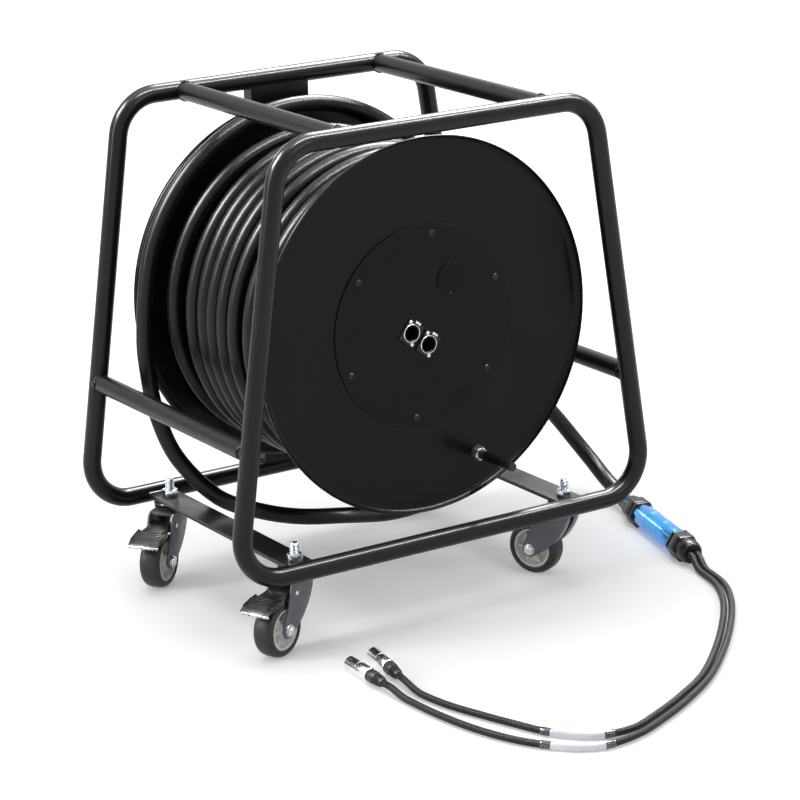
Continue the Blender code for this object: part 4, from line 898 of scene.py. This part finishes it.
def makeWheelBolt():
    facts = casterFacts
    face = facts["outside"] + 0.0003
    head = addNut("wheelBolt", facts["boltFlats"], face + 0.0008, face + 0.0050, 0.0009, 0.3)
    nut = addNut("boltNut", facts["boltFlats"], -face - 0.0042, -face - 0.0008, 0.0008, 0.1)
    washers = [spinProfile("washer", [*shapeAt(0, high, (0, 0), (7.7, 0), (8, -0.3)), (0.0080, low), (0.0, low)], 32)
               for low, high in ((face, face + 0.0009), (-face - 0.0009, -face))]
    shank = spinProfile("shank", shapeAt(0, face, (0, 2), (4, 2))
                        + shapeAt(0, -face, (4, -4.6), (3.4, -5), (0, -5)), 24)
    joinPieces(head, nut, *washers, shank)
    return putInPlace(head, wheelPlace)


def makeTyre():
    side = shapeAt(0, casterFacts["tyreHalf"], (27.6, -0.6), (29, 0), (30.6, 0), (32.2, -0.4), (33.8, -1.4),
                   (35, -2.8), (36, -4.6), (36.6, -6.6), (37, -9))
    return putInPlace(spinProfile("tyre", [*bothHalves(side), side[0]], 72), wheelPlace)


def makeRim():
    # An outer ring, a thin web with six ribs, and the boss round the bearing
    half = casterFacts["tyreHalf"] - 0.0015
    side = [*shapeAt(0, 0, (4.7, 14.5), (8.5, 14.5), (9.4, 13.8), (10, 6), (11.4, 4), (21, 4), (22.6, 5.6)),
            *shapeAt(0, half, (23.8, -0.6), (24.4, 0)),
            *shapeAt(casterFacts["rimRadius"], half, (-0.6, 0), (0, -0.6))]
    rim = spinProfile("rim", [*bothHalves(side), side[0]])
    ribs = []
    for number in range(6):
        rib = addBlock("rib", (0.0085, -0.0010, -0.0098), (0.0240, 0.0010, 0.0098), (0.0006,))
        ribs.append(putInPlace(rib, turned("Z", math.tau * number / 6)))
    joinPieces(rim, *ribs)
    return putInPlace(rim, wheelPlace)


def makeBearing():
    # Dark pressed cover over the bearing, on both sides
    covers = []
    for end in (-1, 1):
        ring = shapeAt(0, 0, (4.4, end * 15.6), (6.2, end * 15.6), (8, end * 15), (8, end * 14), (4.4, end * 14))
        covers.append(spinProfile("bearingCover", [*ring, ring[0]], 32))
    joinPieces(*covers)
    return putInPlace(covers[0], wheelPlace)


def makePedal():
    x, z = casterFacts["pivot"]
    reach, half = casterFacts["pedalReach"], casterFacts["pedalHalf"]
    arm = extrudeOutline("pedal", shapeAt(
        x, z, (-4, -2), (-4.5, 3), (2, 4.8), (20, 3.8), (40, 0.8), (60, -3.2), (60, -5.8), (40, -1.6), (20, 1.2),
        (6, -1)), -0.0145, 0.0145, (0.0007,))
    pad = extrudeOutline("pedalPad", shapeAt(
        x, z, (34, 1.4), (46, -0.6), (62, -4.6), (69, -8.6), (69, -11.2), (61.2, -7), (45, -3), (34, -1)),
        -half, half, (0.0006,))
    pieces = [pad]
    flange = shapeAt(x, z, (33, 2.4), (47, 1), (62, -3), (62, -9), (50, -6.6), (33, -4))
    cheek = shapeAt(x, z, (-5, -6), (-5, 4), (10, 5.2), (36, 2.6), (36, -4), (10, -6.2))
    for end in (-1, 1):
        for name, shape, near, far in (("pedalFlange", flange, half, half - 0.0014),
                                       ("pedalCheek", cheek, 0.0148, 0.0132)):
            pieces.append(extrudeOutline(name, shape, *sorted((end * near, end * far)), (0.0005,)))
    # Pressed grip ridges across the foot plate, and the saw-toothed lock below it
    for number in range(4):
        low = x + 0.0385 + number * 0.0052
        height = z - (low - x - 0.034) * 0.20
        pieces.append(addBlock("ridge", (low, -half + 0.003, height - 0.0004),
                               (low + 0.0018, half - 0.003, height + 0.0024), (0.0006,)))
    for number in range(7):
        y = -0.0105 + number * 0.0035
        pieces.append(addBlock("tooth", (x + 0.0165, y - 0.0011, z - 0.0034), (x + 0.0225, y + 0.0011, z + 0.0010),
                               (0.0004, 1)))
    joinPieces(arm, *pieces)
    lip = softenEdges(addCylinder("pedalLip", 20, 0.0021, -half, half), 0.0006)
    putInPlace(lip, moved(reach - 0.0025, 0, z - 0.0112) @ turned("X", quarter))
    return arm, lip


def makePivotPin():
    x, z = casterFacts["pivot"]
    half = shapeAt(0, casterFacts["outside"], (0, 1.2), (2, 1), (3, 0.2), (3, 0), (2.5, 0))
    return putInPlace(spinProfile("pivotPin", bothHalves(half), 24), moved(x, 0, z) @ turned("X", quarter))


def setCasters():
    masters = {"stem": makeStem(), "head": makeSwivelHead(), "fork": makeFork(), "bolt": makeWheelBolt(),
               "tyre": makeTyre(), "rim": makeRim(), "bearing": makeBearing(), "pin": makePivotPin()}
    masters["pedal"], masters["lip"] = makePedal()
    # Body that it rides on, finish, slot and the CAD node that it stands for
    plan = {"stem": ("trolley", "zinc", "zinc_plate", "caster_stem_"),
            "head": ("trolley", "caster", "caster_paint", ""),
            "fork": ("fork_", "fork", "caster_paint", "caster_fork_"),
            "bolt": ("fork_", "zinc", "zinc_plate", "wheel_bolt_"), "pin": ("fork_", "zinc", "zinc_plate", ""),
            "tyre": ("wheel_", "tread", "tyre", "tyre_"), "rim": ("wheel_", "rim", "rim", "rim_"),
            "bearing": ("wheel_", "caster", "caster_paint", ""),
            "pedal": ("pedal_", "caster", "caster_paint", "brake_pedal_"),
            # The pedal's lip carries the painted glints
            "lip": ("pedal_", "worn", "caster_paint", "")}
    for where, (x, y, heading, braked) in casterPlaces.items():
        stand = moved(x, y, 0) @ turned("Z", math.radians(heading))
        for key, (body, finish, slotName, node) in plan.items():
            if braked or key not in ("pedal", "lip", "pin"):
                finishPiece(copyPiece(masters[key], f"{key}_{where}"), body if body == "trolley" else body + where,
                            finish, node and node + where, stand)
    for master in masters.values():
        bpy.data.objects.remove(master, do_unlink=True)


setCasters()
print("four casters set")

# The drum's flanges, panel and badge. Heights are measured forward along the axle from its middle
drumFacts = {"front": 0.1485, "rear": 0.1595, "radius": 0.250, "sheet": 0.0018, "roll": 0.0105, "hole": 0.100,
             "rearHole": 0.022, "steps": 144}
panelFacts = {"radius": 0.1353, "back": 0.1506, "face": 0.1521, "screwCircle": 0.122, "screws": 6,
              "screwRadius": 0.0045, "badgeRadius": 0.021, "badgeOffset": 0.071, "badgeSheet": 0.0012}
# The two network sockets: black plate, bright ring, dark bore with the jack at its end
socketFacts = {"places": {"Left": (-0.0128, -0.0172), "Right": (0.0190, -0.0170)}, "width": 0.026, "tall": 0.031,
               "back": 0.1524, "plate": 0.0018, "ring": 0.0018, "ringRadius": 0.0125, "bore": 0.0096,
               "depth": 0.022, "jack": (0.0059, 0.0041), "screw": (0.0095, 0.0120), "contactGap": 0.00127,
               "tab": (0.0045, 0.00175, 0.0154)}


def flangeProfile(hole):
    facts = drumFacts
    sheet, outer = facts["sheet"], facts["roll"]
    middle, inner = facts["radius"] - outer, outer - sheet
    inside, outside = ([(middle + reach * math.sin(angle), outer - reach * math.cos(angle))
                        for angle in np.radians(span)]
                       for reach, span in ((inner, np.linspace(0.0, 84.0, 9)), (outer, np.linspace(84.0, 0.0, 12))))
    edge = shapeAt((inside[-1][0] + outside[0][0]) / 2, outer, (-0.5, -0.2), (0, 0), (0.5, -0.2))
    lower, upper = shapeAt(hole, 0, (0.3, 0), (0, 0.3)), shapeAt(hole, sheet, (0, -0.3), (0.3, 0))
    return [*upper, *inside, *edge, *outside, *lower, upper[0]]


def makeFlanges():
    facts = drumFacts
    for end, hole, seat in (("front", facts["hole"], moved(0, 0, facts["front"])),
                            ("rear", facts["rearHole"], moved(0, 0, -facts["rear"]) @ turned("X", math.pi))):
        flange = spinProfile(end + "Flange", flangeProfile(hole), facts["steps"])
        finishPiece(flange, "drum", "drum", end + "_flange", drumPlace @ seat, 25)


def makePanScrew(name, radius, rise, slot):
    head = spinProfile(name, [*((radius * out, rise * up) for out, up in (
        (0, 1), (0.35, 0.97), (0.7, 0.80), (0.92, 0.48), (1, 0.15))), (radius, -0.0006), (0.0, -0.0006)], 24)
    arms = [putInPlace(centredBlock("crossCutter", radius * 0.62, slot, rise * 0.25, rise * 2), turned("Z", angle))
            for angle in (0.6, 0.6 + quarter)]
    return cutWith(head, *arms)


def makePanel():
    facts = panelFacts
    radius, face, back = facts["radius"], facts["face"], facts["back"]
    panel = spinProfile("panel", [(0.0, face), *shapeAt(radius, face, (-0.5, 0), (0, -0.4)), (radius, back),
                                  (0.0, back)], 128)
    cutWith(panel, *[addCylinder("socketHole", 48, 0.0118, back - 0.01, face + 0.01, place)
                     for place in socketFacts["places"].values()])
    finishPiece(panel, "drum", "panel", "panel_plate", drumPlace, 25)
    screw = makePanScrew("panelScrew", facts["screwRadius"], 0.0021, 0.0006)
    screws = []
    for number in range(facts["screws"]):
        angle = math.tau * number / facts["screws"]
        seat = moved(facts["screwCircle"] * math.cos(angle), facts["screwCircle"] * math.sin(angle), face)
        screws.append(putInPlace(copyPiece(screw, f"panelScrew{number + 1}"), seat @ turned("Z", angle * 2.7)))
    bpy.data.objects.remove(screw, do_unlink=True)
    joinPieces(*screws)
    finishPiece(screws[0], "drum", "caster", place=drumPlace)
    low, radius = face + 0.0003, facts["badgeRadius"]
    high = low + facts["badgeSheet"]
    badge = spinProfile("badge", [(0.0, high - 0.0003), *shapeAt(radius, high, (-1.9, -0.3), (-1.6, 0), (-0.5, 0),
                                                                 (0, -0.5)), (radius, low), (0.0, low)], 96)
    finishPiece(badge, "drum", "badge", "badge_disc", drumPlace @ moved(0, facts["badgeOffset"], 0))


def makeSocket(side, x, y):
    facts = socketFacts
    back, face = facts["back"], facts["back"] + facts["plate"]
    top, floor = face + facts["ring"], face + facts["ring"] - facts["depth"]
    place = drumPlace @ moved(x, y, 0)
    plate = centredBlock("socket" + side, facts["width"] / 2, facts["tall"] / 2, back, face, (0.0012, 4, 60))
    cutWith(plate, addCylinder("boreCutter", 64, 0.0112, back - 0.01, face + 0.01),
            addBlock("tabCutter", (-0.0049, 0.0133, back - 0.01), (0.0049, 0.0175, face + 0.01)))
    finishPiece(plate, "drum", "housing", "socket_" + side.lower(), place)
    ring = shapeAt(0, top, (11.1, -1), (11.3, -0.3), (11.7, 0), (12.1, -0.2), (12.5, -0.9))
    ring = spinProfile("socketRing" + side, [*ring, (facts["ringRadius"], face - 0.0002), (0.0111, face - 0.0002),
                                             ring[0]])
    finishPiece(ring, "drum", "nickel", place=place)
    bore = facts["bore"]
    cup = spinProfile("socketCup" + side, [
        (bore, face + 0.0008), (bore, floor), *shapeAt(0, floor, (0, 0), (0, -5.8), (11.5, -5.8)), (0.0115, back),
        (0.0111, back), (0.0111, face + 0.0004), *shapeAt(bore, face, (0.4, 1.2), (0, 0.8))], 48)
    wide, tall = facts["jack"]
    cutWith(cup, centredBlock("jackCutter", wide, tall, floor - 0.0050, floor + 0.004),
            addBlock("latchCutter", (-0.0030, -tall - 0.0022, floor - 0.0050),
                     (0.0030, -tall + 0.001, floor + 0.004)))
    insert = centredBlock("jackFrame", 0.0072, 0.0062, floor - 0.0002, floor + 0.0050, (0.0008, 3))
    cutWith(insert, centredBlock("frameCutter", wide, tall, floor - 0.004, floor + 0.01),
            addBlock("frameLatch", (-0.0030, -tall - 0.0012, floor - 0.004), (0.0030, -tall + 0.001, floor + 0.01)))
    joinPieces(cup, insert)
    finishPiece(cup, "drum", "housing", place=place)
    contacts = []
    for number in range(8):
        across = (number - 3.5) * facts["contactGap"]
        contacts.append(addBlock("contacts" + side, (across - 0.00028, tall - 0.0030, floor - 0.0046),
                                 (across + 0.00028, tall - 0.0004, floor + 0.0022), (0.0001, 1)))
    joinPieces(*contacts)
    finishPiece(contacts[0], "drum", "gold", place=place)
    screws = [putInPlace(makePanScrew("socketScrews" + side, 0.0026, 0.0010, 0.0004),
                         moved(sign * facts["screw"][0], -sign * facts["screw"][1], face)) for sign in (-1, 1)]
    joinPieces(*screws)
    finishPiece(screws[0], "drum", "zinc", place=place)
    # The release tab has grip lines across its thumb face
    wide, tall, middle = facts["tab"]
    tab = addBlock("releaseTab" + side, (-wide, middle - tall, face - 0.006), (wide, middle + tall, face + 0.0029),
                   (0.0006, 3))
    lines = []
    for number in range(4):
        low = middle - tall + 0.0004 + number * 0.00072
        lines.append(addBlock("gripLine", (-wide + 0.0008, low, face + 0.0025),
                              (wide - 0.0008, low + 0.0004, face + 0.0035), (0.00015, 1)))
    joinPieces(tab, *lines)
    finishPiece(tab, "tab_" + side.lower(), "nickel", "release_tab_" + side.lower(), place)


makeFlanges()
makePanel()
for sideName, socketPlace in socketFacts["places"].items():
    makeSocket(sideName, *socketPlace)
print("flanges, panel and sockets made")

# The winding handle: a shouldered bolt through the flange, with a grip that turns on it
handleFacts = {"circle": 0.204, "angle": math.radians(-66.6), "flange": 0.1503, "washer": 0.002, "nutFlats": 0.017,
               "nutHeight": 0.0075, "spindle": 0.004, "tip": 0.232, "cap": 0.002, "grip": 0.0065, "gap": 0.0003}


def makeHandle():
    facts = handleFacts
    angle = facts["angle"] + drumTurn
    place = drumPlace @ moved(facts["circle"] * math.cos(angle), facts["circle"] * math.sin(angle), 0)
    washerLow = facts["flange"] + facts["gap"]
    nutLow = washerLow + facts["washer"]
    nutTop = nutLow + facts["nutHeight"]
    capLow = facts["tip"] - facts["cap"]
    spindle = facts["spindle"]
    stud = spinProfile("handleStud", [
        *shapeAt(0, facts["tip"], (0, 0), (4.8, 0), (5.8, -0.5), (6, -1.2)), (0.0060, capLow), (spindle, capLow),
        (spindle, nutLow), *shapeAt(0, nutLow, (10.5, 0), (11, -0.4)), (0.0110, washerLow), (spindle, washerLow),
        (spindle, 0.1482), *shapeAt(0, 0.1457, (6.6, 2.5), (7, 2.1), (7, 0.7), (6, 0), (0, 0))], 40)
    nut = addNut("handleNut", facts["nutFlats"], nutLow, nutTop, 0.0010, 0.35)
    finishPiece(stud, "drum", "caster", "handle_stud", place)
    # The nut carries the painted glints, standing in for its highlights
    finishPiece(nut, "drum", "worn", place=place)
    low, high, radius = nutTop + facts["gap"], capLow - facts["gap"], facts["grip"]
    rings = []
    for number in range(3):
        rings += shapeAt(radius, low + 0.006 + number * 0.0024, (0, -0.8), (-0.5, -0.4), (-0.5, 0.4), (0, 0.8))
    grip = spinProfile("handleGrip", [
        (0.0043, low), *shapeAt(radius, low, (-1.2, 0), (-0.3, 0.4), (0, 1.2)), *rings,
        *shapeAt(radius, high, (0, -2), (-0.5, -0.6), (-1.4, 0)), (0.0043, high), (0.0043, low)], 40)
    finishPiece(grip, "handle", "nylon", "handle_grip", place)


makeHandle()
print("winding handle made")

# The CAD's own pieces that are left showing get their finishes
for nodeName, finish in {"drum_barrel": "drum", "bearing_front": "steel", "bearing_rear": "steel", "axle": "steel",
                         "axle_nut": "zinc", "drum_support": "frame"}.items():
    materials = frame["nodes"][nodeName].data.materials
    materials.clear()
    materials.append(finishes[finish])
